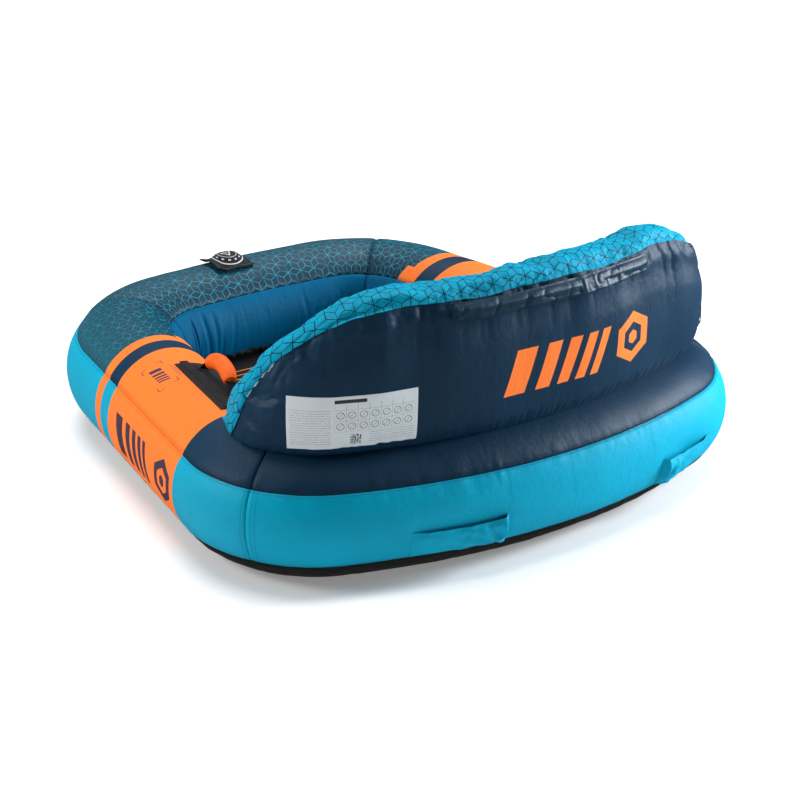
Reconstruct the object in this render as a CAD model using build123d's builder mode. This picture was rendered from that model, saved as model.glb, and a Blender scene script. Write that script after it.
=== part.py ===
from build123d import *
import os
from math import asin, atan2, cos, degrees, hypot, radians, sin, sqrt

# Two-seat towable tube: an inflated ring, an inflated floor and an inflated backrest inside sewn fabric
# covers, with grab handles, air valves, a zip for the backrest bladder and a tow eye.
# Millimetres. +X is the riders' left, -Y is the front (towed) end, +Z is up.
# The origin is on the ground, below the middle of the ring.

# Ring, measured on the centreline of its tube
ring_length = 1308.0            # front apex to rear apex
front_width = 880.0             # between the side lines, level with the front apex
rear_width = 1351.0             # between the side lines, level with the rear apex
front_arc_radius = 2038.0
rear_arc_radius = 1362.0
front_corner_inside = 110.0      # radius of the tube's inner side at a corner
rear_corner_inside = 30.0
tube_radius = 165.0             # outside of the cover
tube_flattening = 13.0          # how much the tube's round is pressed flat on the ground

# Sewn covers and bladders
cover_thickness = 1.2
seam_gap = 0.4                  # between two sewn edges
bladder_gap = 2.4               # between a cover and the bladder inside it
bladder_thickness = 1.0
outer_seam_angle = 34.4         # seams, as angles round the tube from straight outwards
inner_seam_angle = 138.0
skirt_seam_angle = -36.0

# Floor
floor_height = 95.0
deck_thickness = 3.0
floor_bladder_margin = 4.0      # floor bladder's edge inside the deck's edge

# Backrest, standing on the rear of the ring
backrest_height = 697.0         # top of its ridge above the ground
backrest_half_depth = 62.0      # either side of the ring's centreline
backrest_tip_inset = 384.0      # where its sloping ends meet the ring, in front of the rear apex
backrest_shoulder_inset = 62.0  # where its sloping ends reach full height, in front of the rear apex
backrest_shoulder_radius = 70.0
backrest_run = 90.0             # length of it on each straight side

# Zip and its flap, on the back of the backrest
zip_drop = 70.0                 # below the top of the backrest
zip_left_angle = 9.3            # ends of the zip, as angles about the rear arc's centre
zip_right_angle = 12.6
zip_slot = 8.0
zip_tape_width = 14.0
zip_tape_thickness = 1.2
zip_teeth_width = 5.0
zip_teeth_thickness = 1.6
slider_length = 16.0
slider_width = 9.0
slider_thickness = 3.0
slider_gap = 0.4                # between the slider and the teeth
ear_thickness = 1.6
pull_length = 34.0
pull_width = 9.0
pull_thickness = 1.6
pull_pin_radius = 1.0
pull_pin_clearance = 0.06
pull_barrel_wall = 0.9
pull_side_clearance = 0.4
zip_flap_width = 48.0
zip_flap_margin = 1.5           # degrees beyond the zip at each end
zip_flap_clearance = 5.0        # between the zip's pull and the flap over it
slider_rest_angle = 11.6        # to the right of the middle, at the zip's closed end

# Label on the back of the backrest
label_height = 135.0
label_rise = 14.0               # above the top of the ring
label_thickness = 0.8
label_arc_angle = 7.56          # share of its width on the rear arc
label_corner_angle = 26.4       # share of its width on the rear left corner

# Air valves and the covers over them
valve_flange_radius = 32.0
valve_flange_thickness = 3.0
valve_neck_radius = 17.0
valve_neck_height = 9.0
valve_bore_radius = 13.5
valve_insert_clearance = 0.3
valve_insert_wall = 2.0
valve_insert_depth = 7.0
valve_cap_radius = 21.0
valve_cap_height = 7.0
valve_cap_clearance = 0.5
valve_hole_margin = 5.0
valve_cover_length = 116.0      # along its hinged edge
valve_cover_width = 112.0
valve_cover_thickness = 3.0
valve_cover_headroom = 4.0
valve_cover_lift = 1.5
ring_valve_angle = 1.13         # from the front apex, about the front arc's centre
backrest_valve_angle = 146.0    # on the rear right corner, about its centre
backrest_valve_rise = 71.0      # above the top of the ring

# Grab handles
handle_span = 190.0             # between the feet of the arch
handle_rise = 46.0              # of the arch's centreline above its feet
webbing_width = 26.0
webbing_thickness = 2.5
grip_radius = 20.0
grip_sweep = 68.0               # degrees of the arch that the grip covers
grip_clearance = 0.6
foot_length = 32.0
foot_gap = 1.0
foot_seat = 0.4                 # between a foot and the surface it is sewn to
pivot_height = 6.0              # of the line that the arch rocks about, above the surface
side_handle_angle = 105.0       # round the tube from straight outwards
guard_length = 335.0
guard_gap = 6.2                 # between a guard and the backrest's tip
guard_low_angle = 86.0
guard_high_angle = 128.0
guard_thickness = 4.0
centre_handle_x = 70.0
centre_handle_inset = 744.0     # in front of the rear apex

# Tow point, low on the front
tow_patch_half_width = 95.0
tow_patch_low_angle = -34.0
tow_patch_high_angle = -6.0
tow_patch_thickness = 2.0
tow_pivot_angle = -30.0
tow_pivot_reach = 12.0          # of the eye's bar outside the patch
tow_bar_radius = 5.0
tow_strap_clearance = 0.8
tow_strap_thickness = 2.4
tow_strap_width = 44.0
tow_side_clearance = 2.0
tow_eye_arm = 9.0
tow_eye_thickness = 10.0
tow_eye_length = 38.0           # bar to the centre of the eye's bore
tow_eye_bore_radius = 10.0
tow_eye_rim = 8.0
tow_slot_depth = 14.0
harness_width = 50.0
harness_thickness = 1.0
harness_side_inset = 245.5      # each rear end, inside the side line at the rear apex
harness_rear_inset = 174.0      # each rear end, in front of the rear apex

# Water vents, low on the rear
vent_left_start = 74.4          # about the rear arc's centre
vent_left_end = 83.8
vent_right_start = 103.2
vent_right_end = 111.0
vent_low_angle = -33.0
vent_high_angle = -8.0
vent_slot_low_angle = -27.0
vent_slot_high_angle = -15.0
vent_slot_margin = 2.0          # degrees shorter than its flap at each end
vent_flap_gap = 1.2
vent_flap_thickness = 1.2
vent_mesh_thickness = 0.8
vent_mesh_lap = 3.0

# Worked out from the sizes above
front_corner_radius = front_corner_inside + tube_radius
rear_corner_radius = rear_corner_inside + tube_radius
tube_height = tube_radius - tube_flattening
foot_half_width = sqrt(tube_radius**2 - tube_height**2)
foot_angle = degrees(asin(tube_height / tube_radius))
inner_radius = tube_radius - cover_thickness
bladder_radius = inner_radius - bladder_gap
deck_seam_angle = 180.0 + degrees(asin((tube_height - floor_height) / tube_radius))
deck_offset = -tube_radius * cos(radians(deck_seam_angle - 180.0)) - seam_gap
wall_half_depth = backrest_half_depth - cover_thickness

front_apex_y = -ring_length / 2
rear_apex_y = ring_length / 2
ring_top = tube_height + tube_radius
front_centre = (0.0, front_apex_y + front_arc_radius)
rear_centre = (0.0, rear_apex_y - rear_arc_radius)
side_angle = atan2((rear_width - front_width) / 2, ring_length)
side_direction = (sin(side_angle), cos(side_angle))
side_normal = (cos(side_angle), -sin(side_angle))


def corner_centre(arc_centre, arc_radius, corner_radius, end):
    """Centre of the left corner, tangent to the side line and to an end arc; end is -1 front, 1 rear."""
    start = (front_width / 2 - side_normal[0] * corner_radius, front_apex_y - side_normal[1] * corner_radius)
    from_arc = (start[0] - arc_centre[0], start[1] - arc_centre[1])
    along = from_arc[0] * side_direction[0] + from_arc[1] * side_direction[1]
    excess = from_arc[0]**2 + from_arc[1]**2 - (arc_radius - corner_radius)**2
    reach = -along + end * sqrt(along**2 - excess)
    return (start[0] + side_direction[0] * reach, start[1] + side_direction[1] * reach)


def direction_angle(start, end):
    return degrees(atan2(end[1] - start[1], end[0] - start[0]))


def polar(centre, radius, angle):
    return (centre[0] + radius * cos(radians(angle)), centre[1] + radius * sin(radians(angle)))


class Bend:
    """A stretch of the ring's centreline that turns about a vertical axis."""

    def __init__(self, centre, radius, start, end):
        self.centre = centre
        self.radius = radius
        self.start = start
        self.end = end

    def section_plane(self, height):
        """The upright plane at the start of the stretch: x points out of the ring and y points up."""
        outward = polar((0.0, 0.0), 1.0, self.start)
        point = polar(self.centre, self.radius, self.start)
        return Plane(origin=(*point, height), x_dir=(*outward, 0), z_dir=(outward[1], -outward[0], 0))

    def carry(self, section):
        turn = self.end - self.start
        revolve(section, axis=Axis((*self.centre, 0), (0, 0, 1)), revolution_arc=turn)

    def mirrored(self):
        return Bend((-self.centre[0], self.centre[1]), self.radius, 180 - self.end, 180 - self.start)


class Run:
    """A straight stretch of the ring's centreline."""

    def __init__(self, start, end):
        self.start = start
        self.end = end

    def section_plane(self, height):
        length = hypot(self.end[0] - self.start[0], self.end[1] - self.start[1])
        along = ((self.end[0] - self.start[0]) / length, (self.end[1] - self.start[1]) / length)
        across = (along[1], -along[0], 0)
        return Plane(origin=(*self.start, height), x_dir=across, z_dir=(-along[0], -along[1], 0))

    def carry(self, section):
        length = hypot(self.end[0] - self.start[0], self.end[1] - self.start[1])
        extrude(section, amount=-length)

    def mirrored(self):
        return Run((-self.end[0], self.end[1]), (-self.start[0], self.start[1]))


def shell_section(plane, radius, thickness, low, high):
    """Part of the tube's wall, between two angles round the tube."""
    with BuildSketch(plane) as section:
        with BuildLine():
            outside = CenterArc((0, 0), radius, low, high - low)
            inside = CenterArc((0, 0), radius - thickness, low, high - low)
            Line(outside @ 0, inside @ 0)
            Line(outside @ 1, inside @ 1)
        make_face()
    return section.sketch


def bladder_section(plane, radius, flat):
    """A round tube pressed flat, where flat is the height of its flat below its centre."""
    edge = degrees(asin(flat / radius))
    with BuildSketch(plane) as section:
        with BuildLine():
            round_part = CenterArc((0, 0), radius, -edge, 180 + 2 * edge)
            Line(round_part @ 0, round_part @ 1)
        make_face()
    return section.sketch


def slab_section(plane, inner, outer, low, high):
    """A box section between two offsets from the centreline and two heights above the ground."""
    with BuildSketch(plane) as section:
        with Locations(((inner + outer) / 2, (low + high) / 2)):
            Rectangle(outer - inner, high - low)
    return section.sketch


def save(builder, name):
    builder.part.label = name
    export_step(builder.part, f"parts/{name}.step")


# Centreline of the ring
front_corner = corner_centre(front_centre, front_arc_radius, front_corner_radius, -1)
rear_corner = corner_centre(rear_centre, rear_arc_radius, rear_corner_radius, 1)
side_facing = -degrees(side_angle)
front_turn = direction_angle(front_centre, front_corner)
rear_turn = direction_angle(rear_centre, rear_corner)
side_start = polar(front_corner, front_corner_radius, side_facing)
side_end = polar(rear_corner, rear_corner_radius, side_facing)
front_middle = (front_turn + side_facing) / 2
rear_middle = (rear_turn + side_facing) / 2
front_trim = degrees(seam_gap / 2 / front_corner_radius)
rear_trim = degrees(seam_gap / 2 / rear_corner_radius)

front_arc = Bend(front_centre, front_arc_radius, -180 - front_turn, front_turn)
front_bend = Bend(front_corner, front_corner_radius, front_turn, side_facing)
left_run = Run(side_start, side_end)
rear_bend = Bend(rear_corner, rear_corner_radius, side_facing, rear_turn)
rear_arc = Bend(rear_centre, rear_arc_radius, rear_turn, 180 - rear_turn)
whole_ring = [front_arc, front_bend, left_run, rear_bend, rear_arc]
whole_ring += [rear_bend.mirrored(), left_run.mirrored(), front_bend.mirrored()]

# The four sides of the cover, sewn together at the middle of each corner
front_half = Bend(front_corner, front_corner_radius, front_turn, front_middle - front_trim)
front_side = [front_half.mirrored(), front_arc, front_half]
left_front_half = Bend(front_corner, front_corner_radius, front_middle + front_trim, side_facing)
left_rear_half = Bend(rear_corner, rear_corner_radius, side_facing, rear_middle - rear_trim)
left_side = [left_front_half, left_run, left_rear_half]
right_side = [span.mirrored() for span in reversed(left_side)]
rear_half = Bend(rear_corner, rear_corner_radius, rear_middle + rear_trim, rear_turn)
rear_side = [rear_half, rear_arc, rear_half.mirrored()]

os.makedirs("parts", exist_ok=True)

# Places of the two valves: x along the cover's hinge, z straight out of the surface
ring_valve_spot = polar(front_centre, front_arc_radius, -90 + ring_valve_angle)
ring_valve_along = polar((0, 0), 1, ring_valve_angle)
ring_valve_plane = Plane(origin=(*ring_valve_spot, ring_top),
                         x_dir=(*ring_valve_along, 0), z_dir=(0, 0, 1))
right_corner = (-rear_corner[0], rear_corner[1])
backrest_valve_out = polar((0, 0), 1, backrest_valve_angle)
backrest_valve_spot = polar(right_corner, rear_corner_radius + backrest_half_depth, backrest_valve_angle)
backrest_valve_plane = Plane(origin=(*backrest_valve_spot, ring_top + backrest_valve_rise),
                             x_dir=(-backrest_valve_out[1], backrest_valve_out[0], 0),
                             z_dir=(*backrest_valve_out, 0))
valve_hole_radius = valve_flange_radius + valve_hole_margin
valve_sink = cover_thickness + bladder_gap - seam_gap

# Ring cover: top, outer and inner panels on each side
bands = {
    "top": (outer_seam_angle, inner_seam_angle),
    "outer": (skirt_seam_angle, outer_seam_angle),
    "inner": (inner_seam_angle, deck_seam_angle),
}
sides = {"front": front_side, "left": left_side, "right": right_side, "rear": rear_side}
edge_trim = degrees(seam_gap / 2 / tube_radius)
vents = {"left": (vent_left_start, vent_left_end), "right": (vent_right_start, vent_right_end)}


def vent_slot(start, end, margin):
    """The opening under a vent's flap, wider by margin all round, as a thick cutting piece."""
    span = Bend(rear_centre, rear_arc_radius, start + vent_slot_margin, end - vent_slot_margin)
    grow = degrees(margin / tube_radius)
    with BuildPart() as slot:
        span.carry(shell_section(span.section_plane(tube_height), tube_radius + cover_thickness,
                                 3 * cover_thickness, vent_slot_low_angle - grow, vent_slot_high_angle + grow))
    return slot.part


for side_name, spans in sides.items():
    for band_name, (low, high) in bands.items():
        with BuildPart() as panel:
            for span in spans:
                span.carry(shell_section(span.section_plane(tube_height), tube_radius, cover_thickness,
                                         low + edge_trim, high - edge_trim))
            if (side_name, band_name) == ("front", "top"):
                with BuildSketch(ring_valve_plane):
                    Circle(valve_hole_radius)
                extrude(amount=tube_radius / 2, both=True, mode=Mode.SUBTRACT)
            if (side_name, band_name) == ("rear", "outer"):
                for start, end in vents.values():
                    add(vent_slot(start, end, 0), mode=Mode.SUBTRACT)
        save(panel, f"{side_name}_{band_name}_panel")

# Ring bladder
bladder_flat = tube_height - cover_thickness - bladder_gap
with BuildPart() as ring_bladder:
    for span in whole_ring:
        span.carry(bladder_section(span.section_plane(tube_height), bladder_radius, bladder_flat))
    for span in whole_ring:
        section = bladder_section(span.section_plane(tube_height), bladder_radius - bladder_thickness,
                                  bladder_flat - bladder_thickness)
        with BuildPart(mode=Mode.PRIVATE) as air:
            span.carry(section)
        add(air.part, mode=Mode.SUBTRACT)
save(ring_bladder, "ring_bladder")


def outline(offset, height=0.0):
    """The ring's plan outline at an offset from its centreline, as a face at a height above the ground."""
    bends = [front_arc, front_bend, rear_bend, rear_arc, rear_bend.mirrored(), front_bend.mirrored()]
    with BuildSketch(Plane.XY.offset(height)) as face:
        with BuildLine():
            drawn = [CenterArc(bend.centre, bend.radius + offset, bend.start, bend.end - bend.start)
                     for bend in bends]
            Line(drawn[1] @ 1, drawn[2] @ 0)
            Line(drawn[4] @ 1, drawn[5] @ 0)
        make_face()
    return face.sketch


# Bottom cover: the base sheet and its skirt up to the outer panels
with BuildPart() as bottom_cover:
    extrude(outline(foot_half_width), amount=cover_thickness)
    for span in whole_ring:
        span.carry(shell_section(span.section_plane(tube_height), tube_radius, cover_thickness,
                                 -foot_angle, skirt_seam_angle - edge_trim))
save(bottom_cover, "bottom_cover")

# Floor: deck sheet and the bladder under it
with BuildPart() as floor_deck:
    extrude(outline(deck_offset, floor_height - deck_thickness), amount=deck_thickness)
save(floor_deck, "floor_deck")

floor_bladder_edge = deck_offset - floor_bladder_margin
floor_bladder_foot = cover_thickness + bladder_gap
floor_bladder_height = floor_height - deck_thickness - bladder_gap - floor_bladder_foot
with BuildPart() as floor_bladder:
    extrude(outline(floor_bladder_edge, floor_bladder_foot), amount=floor_bladder_height)
    extrude(outline(floor_bladder_edge - bladder_thickness, floor_bladder_foot + bladder_thickness),
            amount=floor_bladder_height - 2 * bladder_thickness, mode=Mode.SUBTRACT)
save(floor_bladder, "floor_bladder")

# Tow harness inside the cover, in a V from the tow point to the rear corners
harness_reach = rear_width / 2 - harness_side_inset
harness_end_y = rear_apex_y - harness_rear_inset
with BuildPart() as tow_harness:
    for side in (-1, 1):
        with BuildSketch(Plane.XY.offset(cover_thickness + seam_gap)):
            Polygon((side * seam_gap, front_apex_y), (side * harness_width, front_apex_y),
                    (side * harness_reach, harness_end_y),
                    (side * (harness_reach - harness_width), harness_end_y), align=None)
        extrude(amount=harness_thickness)
save(tow_harness, "tow_harness")

# Backrest: front, back and ridge panels round a bladder, on the rear of the ring
tip_start = (side_end[0] - side_direction[0] * backrest_run, side_end[1] - side_direction[1] * backrest_run)
tip_run = Run(tip_start, side_end)
backrest_spans = [tip_run, rear_bend, rear_arc, rear_bend.mirrored(), tip_run.mirrored()]
wall_foot = tube_height + sqrt(tube_radius**2 - wall_half_depth**2) + seam_gap
backrest_tip_y = rear_apex_y - backrest_tip_inset
backrest_shoulder_y = rear_apex_y - backrest_shoulder_inset
end_slope = (backrest_height - ring_top) / (backrest_shoulder_y - backrest_tip_y)


def carry_slab(spans, inner, outer, low, high):
    for span in spans:
        span.carry(slab_section(span.section_plane(0), inner, outer, low, high))


def keep_under_ridge(inset, mode=Mode.INTERSECT):
    """Trim the open part to the backrest's outline in side view, drawn in by inset."""
    base = tube_height
    with BuildSketch(Plane.YZ) as profile:
        with BuildLine():
            Polyline((backrest_tip_y - (ring_top - base) / end_slope, base),
                     (backrest_shoulder_y, backrest_height),
                     (ring_length, backrest_height), (ring_length, base), close=True)
        make_face()
        shoulder = profile.vertices().sort_by_distance((0, backrest_shoulder_y, backrest_height))[0]
        fillet(shoulder, backrest_shoulder_radius)
        if inset > 0:
            offset(amount=-inset, kind=Kind.INTERSECTION, mode=Mode.REPLACE)
    extrude(profile.sketch, amount=rear_width, both=True, mode=mode)


zip_height = backrest_height - zip_drop


def zip_bend(margin):
    return Bend(rear_centre, rear_arc_radius, 90 - zip_left_angle - margin, 90 + zip_right_angle + margin)


with BuildPart() as backrest_front_panel:
    carry_slab(backrest_spans, -backrest_half_depth, -wall_half_depth, wall_foot, backrest_height)
    keep_under_ridge(cover_thickness + seam_gap)
save(backrest_front_panel, "backrest_front_panel")

with BuildPart() as backrest_back_panel:
    carry_slab(backrest_spans, wall_half_depth, backrest_half_depth, wall_foot, backrest_height)
    keep_under_ridge(cover_thickness + seam_gap)
    with BuildPart(mode=Mode.PRIVATE) as zip_opening:
        carry_slab([zip_bend(0)], wall_half_depth - cover_thickness, backrest_half_depth + cover_thickness,
                   zip_height - zip_slot / 2, zip_height + zip_slot / 2)
    add(zip_opening.part, mode=Mode.SUBTRACT)
    with BuildSketch(backrest_valve_plane):
        Circle(valve_hole_radius)
    extrude(amount=backrest_half_depth / 2, both=True, mode=Mode.SUBTRACT)
save(backrest_back_panel, "backrest_back_panel")

with BuildPart() as backrest_ridge_panel:
    carry_slab(backrest_spans, -backrest_half_depth, backrest_half_depth, ring_top + seam_gap, backrest_height)
    keep_under_ridge(0)
    keep_under_ridge(cover_thickness, mode=Mode.SUBTRACT)
save(backrest_ridge_panel, "backrest_ridge_panel")

backrest_bladder_half = wall_half_depth - bladder_gap
backrest_bladder_foot = ring_top + bladder_gap
ridge_inset = cover_thickness + bladder_gap
with BuildPart() as backrest_bladder:
    carry_slab(backrest_spans, -backrest_bladder_half, backrest_bladder_half,
               backrest_bladder_foot, backrest_height)
    keep_under_ridge(ridge_inset)
    with BuildPart(mode=Mode.PRIVATE) as backrest_air:
        carry_slab(backrest_spans, bladder_thickness - backrest_bladder_half,
                   backrest_bladder_half - bladder_thickness,
                   backrest_bladder_foot + bladder_thickness, backrest_height)
        keep_under_ridge(ridge_inset + bladder_thickness)
    add(backrest_air.part, mode=Mode.SUBTRACT)
save(backrest_bladder, "backrest_bladder")

# Zip: two tapes, the teeth, the slider with its pull, and the flap over them
tape_offset = backrest_half_depth + seam_gap
teeth_half = zip_teeth_width / 2
with BuildPart() as zip_tape:
    for low in (teeth_half + seam_gap / 2, -teeth_half - seam_gap / 2 - zip_tape_width):
        carry_slab([zip_bend(0)], tape_offset, tape_offset + zip_tape_thickness,
                   zip_height + low, zip_height + low + zip_tape_width)
save(zip_tape, "zip_tape")

with BuildPart() as zip_teeth:
    carry_slab([zip_bend(0)], tape_offset, tape_offset + zip_teeth_thickness,
               zip_height - teeth_half, zip_height + teeth_half)
save(zip_teeth, "zip_teeth")

slider_offset = tape_offset + zip_teeth_thickness + slider_gap
pull_barrel_radius = pull_pin_radius + pull_pin_clearance + pull_barrel_wall
pin_rise = slider_thickness + pull_barrel_radius + slider_gap
slider_angle = 90 + slider_rest_angle
slider_out = polar((0, 0), 1, slider_angle)
slider_spot = polar(rear_centre, rear_arc_radius + slider_offset, slider_angle)
slider_plane = Plane(origin=(*slider_spot, zip_height), x_dir=(-slider_out[1], slider_out[0], 0),
                     z_dir=(*slider_out, 0))
slider_side = Plane(origin=slider_plane.origin, x_dir=slider_plane.y_dir, z_dir=slider_plane.x_dir)
ear_reach = pull_width / 2 + pull_side_clearance

with BuildPart() as zip_slider:
    with BuildSketch(slider_plane):
        RectangleRounded(slider_length, slider_width, slider_width / 4)
    extrude(amount=slider_thickness)
    for side in (-1, 1):
        with BuildSketch(slider_side.offset(side * (ear_reach + ear_thickness / 2))):
            with Locations((0, pin_rise / 2 + slider_thickness / 2)):
                Rectangle(2 * pull_barrel_radius, pin_rise - slider_thickness)
            with Locations((0, pin_rise)):
                Circle(pull_barrel_radius)
        extrude(amount=ear_thickness / 2, both=True)
    with BuildSketch(slider_side):
        with Locations((0, pin_rise)):
            Circle(pull_pin_radius)
    extrude(amount=ear_reach, both=True)
save(zip_slider, "zip_slider")

with BuildPart() as zip_pull:
    with BuildSketch(slider_side):
        with Locations((-pull_length / 2, pin_rise)):
            Rectangle(pull_length, pull_thickness)
        with Locations((0, pin_rise)):
            Circle(pull_barrel_radius)
            Circle(pull_pin_radius + pull_pin_clearance, mode=Mode.SUBTRACT)
    extrude(amount=pull_width / 2, both=True)
save(zip_pull, "zip_pull")

flap_offset = slider_offset + pin_rise + pull_barrel_radius + zip_flap_clearance
with BuildPart() as zip_flap:
    flap_top = zip_height + zip_flap_width / 2
    carry_slab([zip_bend(zip_flap_margin)], flap_offset, flap_offset + cover_thickness,
               zip_height - zip_flap_width / 2, flap_top)
    carry_slab([zip_bend(zip_flap_margin)], tape_offset, flap_offset + cover_thickness,
               flap_top, flap_top + cover_thickness)
save(zip_flap, "zip_flap")

# Label, wrapped round the rear left corner
label_spans = [Bend(rear_corner, rear_corner_radius, rear_turn - label_corner_angle, rear_turn),
               Bend(rear_centre, rear_arc_radius, rear_turn, rear_turn + label_arc_angle)]
label_low = ring_top + label_rise
with BuildPart() as label_patch:
    carry_slab(label_spans, tape_offset, tape_offset + label_thickness, label_low, label_low + label_height)
save(label_patch, "label_patch")

# Air valves
flange_foot = -valve_sink
neck_top = flange_foot + valve_flange_thickness + valve_neck_height
insert_top = neck_top + valve_insert_clearance + valve_insert_wall
cap_bottom = insert_top + valve_cap_clearance
cover_rise = cap_bottom + valve_cap_height + valve_cover_headroom


def cover_arc(edge_drop):
    """Radius and half angle of a valve cover's inner face, arched over the cap from edge to edge."""
    sagitta = cover_rise - valve_cover_lift + edge_drop
    radius = ((valve_cover_width / 2)**2 + sagitta**2) / (2 * sagitta)
    return radius, degrees(asin(valve_cover_width / 2 / radius))


def make_valve(name, plane, edge_drop):
    """Base, insert and cap of a valve, and the cover hinged over it; edge_drop is the surface's fall."""
    with BuildPart() as base:
        with BuildSketch(plane.offset(flange_foot)):
            Circle(valve_flange_radius)
        extrude(amount=valve_flange_thickness)
        with BuildSketch(plane.offset(flange_foot)):
            Circle(valve_neck_radius)
        extrude(amount=valve_flange_thickness + valve_neck_height)
        with BuildSketch(plane.offset(flange_foot)):
            Circle(valve_bore_radius)
        extrude(amount=neck_top - flange_foot, mode=Mode.SUBTRACT)
    save(base, f"{name}_base")

    insert_radius = valve_bore_radius - valve_insert_clearance
    with BuildPart() as insert:
        with BuildSketch(plane.offset(neck_top - valve_insert_depth)):
            Circle(insert_radius)
        extrude(amount=insert_top - neck_top + valve_insert_depth)
        with BuildSketch(plane.offset(neck_top + valve_insert_clearance)):
            Circle(valve_neck_radius)
        extrude(amount=valve_insert_wall)
        with BuildSketch(plane.offset(neck_top - valve_insert_depth + valve_insert_wall)):
            Circle(insert_radius - valve_insert_wall)
        extrude(amount=insert_top, mode=Mode.SUBTRACT)
    save(insert, f"{name}_insert")

    with BuildPart() as cap:
        with BuildSketch(plane.offset(cap_bottom)):
            Circle(valve_cap_radius)
        extrude(amount=valve_cap_height / 2)
        with BuildSketch(plane.offset(cap_bottom + valve_cap_height / 2)):
            SlotOverall(1.6 * valve_cap_radius, valve_cap_height)
        extrude(amount=valve_cap_height / 2)
    save(cap, f"{name}_cap")

    radius, half_angle = cover_arc(edge_drop)
    across = Plane(origin=plane.origin, x_dir=plane.y_dir, z_dir=plane.x_dir)
    with BuildPart() as cover:
        with BuildSketch(across):
            with BuildLine():
                centre = (0, cover_rise - radius)
                inside = CenterArc(centre, radius, 90 - half_angle, 2 * half_angle)
                outside = CenterArc(centre, radius + valve_cover_thickness, 90 - half_angle, 2 * half_angle)
                Line(inside @ 0, outside @ 0)
                Line(inside @ 1, outside @ 1)
            make_face()
        extrude(amount=valve_cover_length / 2, both=True)
    save(cover, f"{name}_cover")


ring_edge_drop = tube_radius - sqrt(tube_radius**2 - (valve_cover_width / 2)**2)
make_valve("ring_valve", ring_valve_plane, ring_edge_drop)
make_valve("backrest_valve", backrest_valve_plane, 0)

# Grab handles
arch_radius = ((handle_span / 2)**2 + handle_rise**2) / (2 * handle_rise)
arch_half_angle = degrees(asin(handle_span / 2 / arch_radius))
arch_centre = (0, pivot_height + handle_rise - arch_radius)


def make_handle(name, plane):
    """Webbing feet, webbing arch and foam grip; the plane's x runs along the handle and z outwards."""
    side_view = Plane(origin=plane.origin, x_dir=plane.x_dir, z_dir=-plane.y_dir)
    with BuildPart() as feet:
        with BuildSketch(plane.offset(foot_seat)):
            foot_x = handle_span / 2 + foot_gap + foot_length / 2
            with Locations((-foot_x, 0), (foot_x, 0)):
                Rectangle(foot_length, webbing_width)
        extrude(amount=webbing_thickness)
    save(feet, f"{name}_feet")

    def arch_section(half_thickness, half_angle):
        with BuildSketch(side_view) as section:
            with BuildLine():
                outside = CenterArc(arch_centre, arch_radius + half_thickness, 90 - half_angle, 2 * half_angle)
                inside = CenterArc(arch_centre, arch_radius - half_thickness, 90 - half_angle, 2 * half_angle)
                Line(inside @ 0, outside @ 0)
                Line(inside @ 1, outside @ 1)
            make_face()
        return section.sketch

    with BuildPart() as strap:
        extrude(arch_section(webbing_thickness / 2, arch_half_angle), amount=webbing_width / 2, both=True)
    save(strap, f"{name}_strap")

    grip_start = 90 - grip_sweep / 2
    arch_origin = side_view.from_local_coords(Vector(*arch_centre, 0))
    grip_out = polar((0, 0), 1, grip_start)
    grip_x = side_view.x_dir * grip_out[0] + side_view.y_dir * grip_out[1]
    grip_z = grip_x.cross(side_view.z_dir)
    with BuildPart() as grip:
        with BuildSketch(Plane(origin=arch_origin + grip_x * arch_radius, x_dir=grip_x, z_dir=-grip_z)) as disc:
            Circle(grip_radius)
        revolve(disc.sketch, axis=Axis(arch_origin, side_view.z_dir), revolution_arc=grip_sweep)
        extrude(arch_section(webbing_thickness / 2 + grip_clearance, grip_sweep / 2 + 1),
                amount=webbing_width / 2 + grip_clearance, both=True, mode=Mode.SUBTRACT)
    save(grip, f"{name}_grip")


# The guards end just in front of the backrest's tips, and a handle stands on the middle of each
tip_along = (backrest_tip_y - side_start[1] + backrest_half_depth * side_normal[1]) / side_direction[1]
guard_middle = tip_along - guard_gap - guard_length / 2


def side_handle_plane(side):
    """Place of a side handle: x along the ring's side, z out of the guard's top face."""
    lean = radians(side_handle_angle)
    height = tube_radius + seam_gap + guard_thickness
    spot = (side_start[0] + side_direction[0] * guard_middle, side_start[1] + side_direction[1] * guard_middle)
    outward = (side_normal[0] * cos(lean), side_normal[1] * cos(lean))
    origin = (side * (spot[0] + outward[0] * height), spot[1] + outward[1] * height,
              tube_height + height * sin(lean))
    return Plane(origin=origin, x_dir=(side * side_direction[0], side_direction[1], 0),
                 z_dir=(side * outward[0], outward[1], sin(lean)))


guard_ends = [(side_start[0] + side_direction[0] * along, side_start[1] + side_direction[1] * along)
              for along in (guard_middle - guard_length / 2, guard_middle + guard_length / 2)]
left_guard_run = Run(*guard_ends)
for side, side_name, run in ((1, "left", left_guard_run), (-1, "right", left_guard_run.mirrored())):
    with BuildPart() as guard:
        run.carry(shell_section(run.section_plane(tube_height), tube_radius + seam_gap + guard_thickness,
                                guard_thickness, guard_low_angle, guard_high_angle))
    save(guard, f"{side_name}_knuckle_guard")
    make_handle(f"{side_name}_handle", side_handle_plane(side))
    centre_spot = (side * centre_handle_x, rear_apex_y - centre_handle_inset, floor_height)
    centre_plane = Plane(origin=centre_spot, x_dir=(0, 1, 0))
    make_handle(f"centre_{side_name}_handle", centre_plane)

# Tow point: patch, webbing loop and the eye that hangs in it
patch_half_angle = degrees(tow_patch_half_width / (front_arc_radius + tube_radius))
patch_span = Bend(front_centre, front_arc_radius, -90 - patch_half_angle, -90 + patch_half_angle)
patch_radius = tube_radius + seam_gap + tow_patch_thickness
with BuildPart() as tow_patch:
    patch_span.carry(shell_section(patch_span.section_plane(tube_height), patch_radius, tow_patch_thickness,
                                   tow_patch_low_angle, tow_patch_high_angle))
save(tow_patch, "tow_patch")

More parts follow.
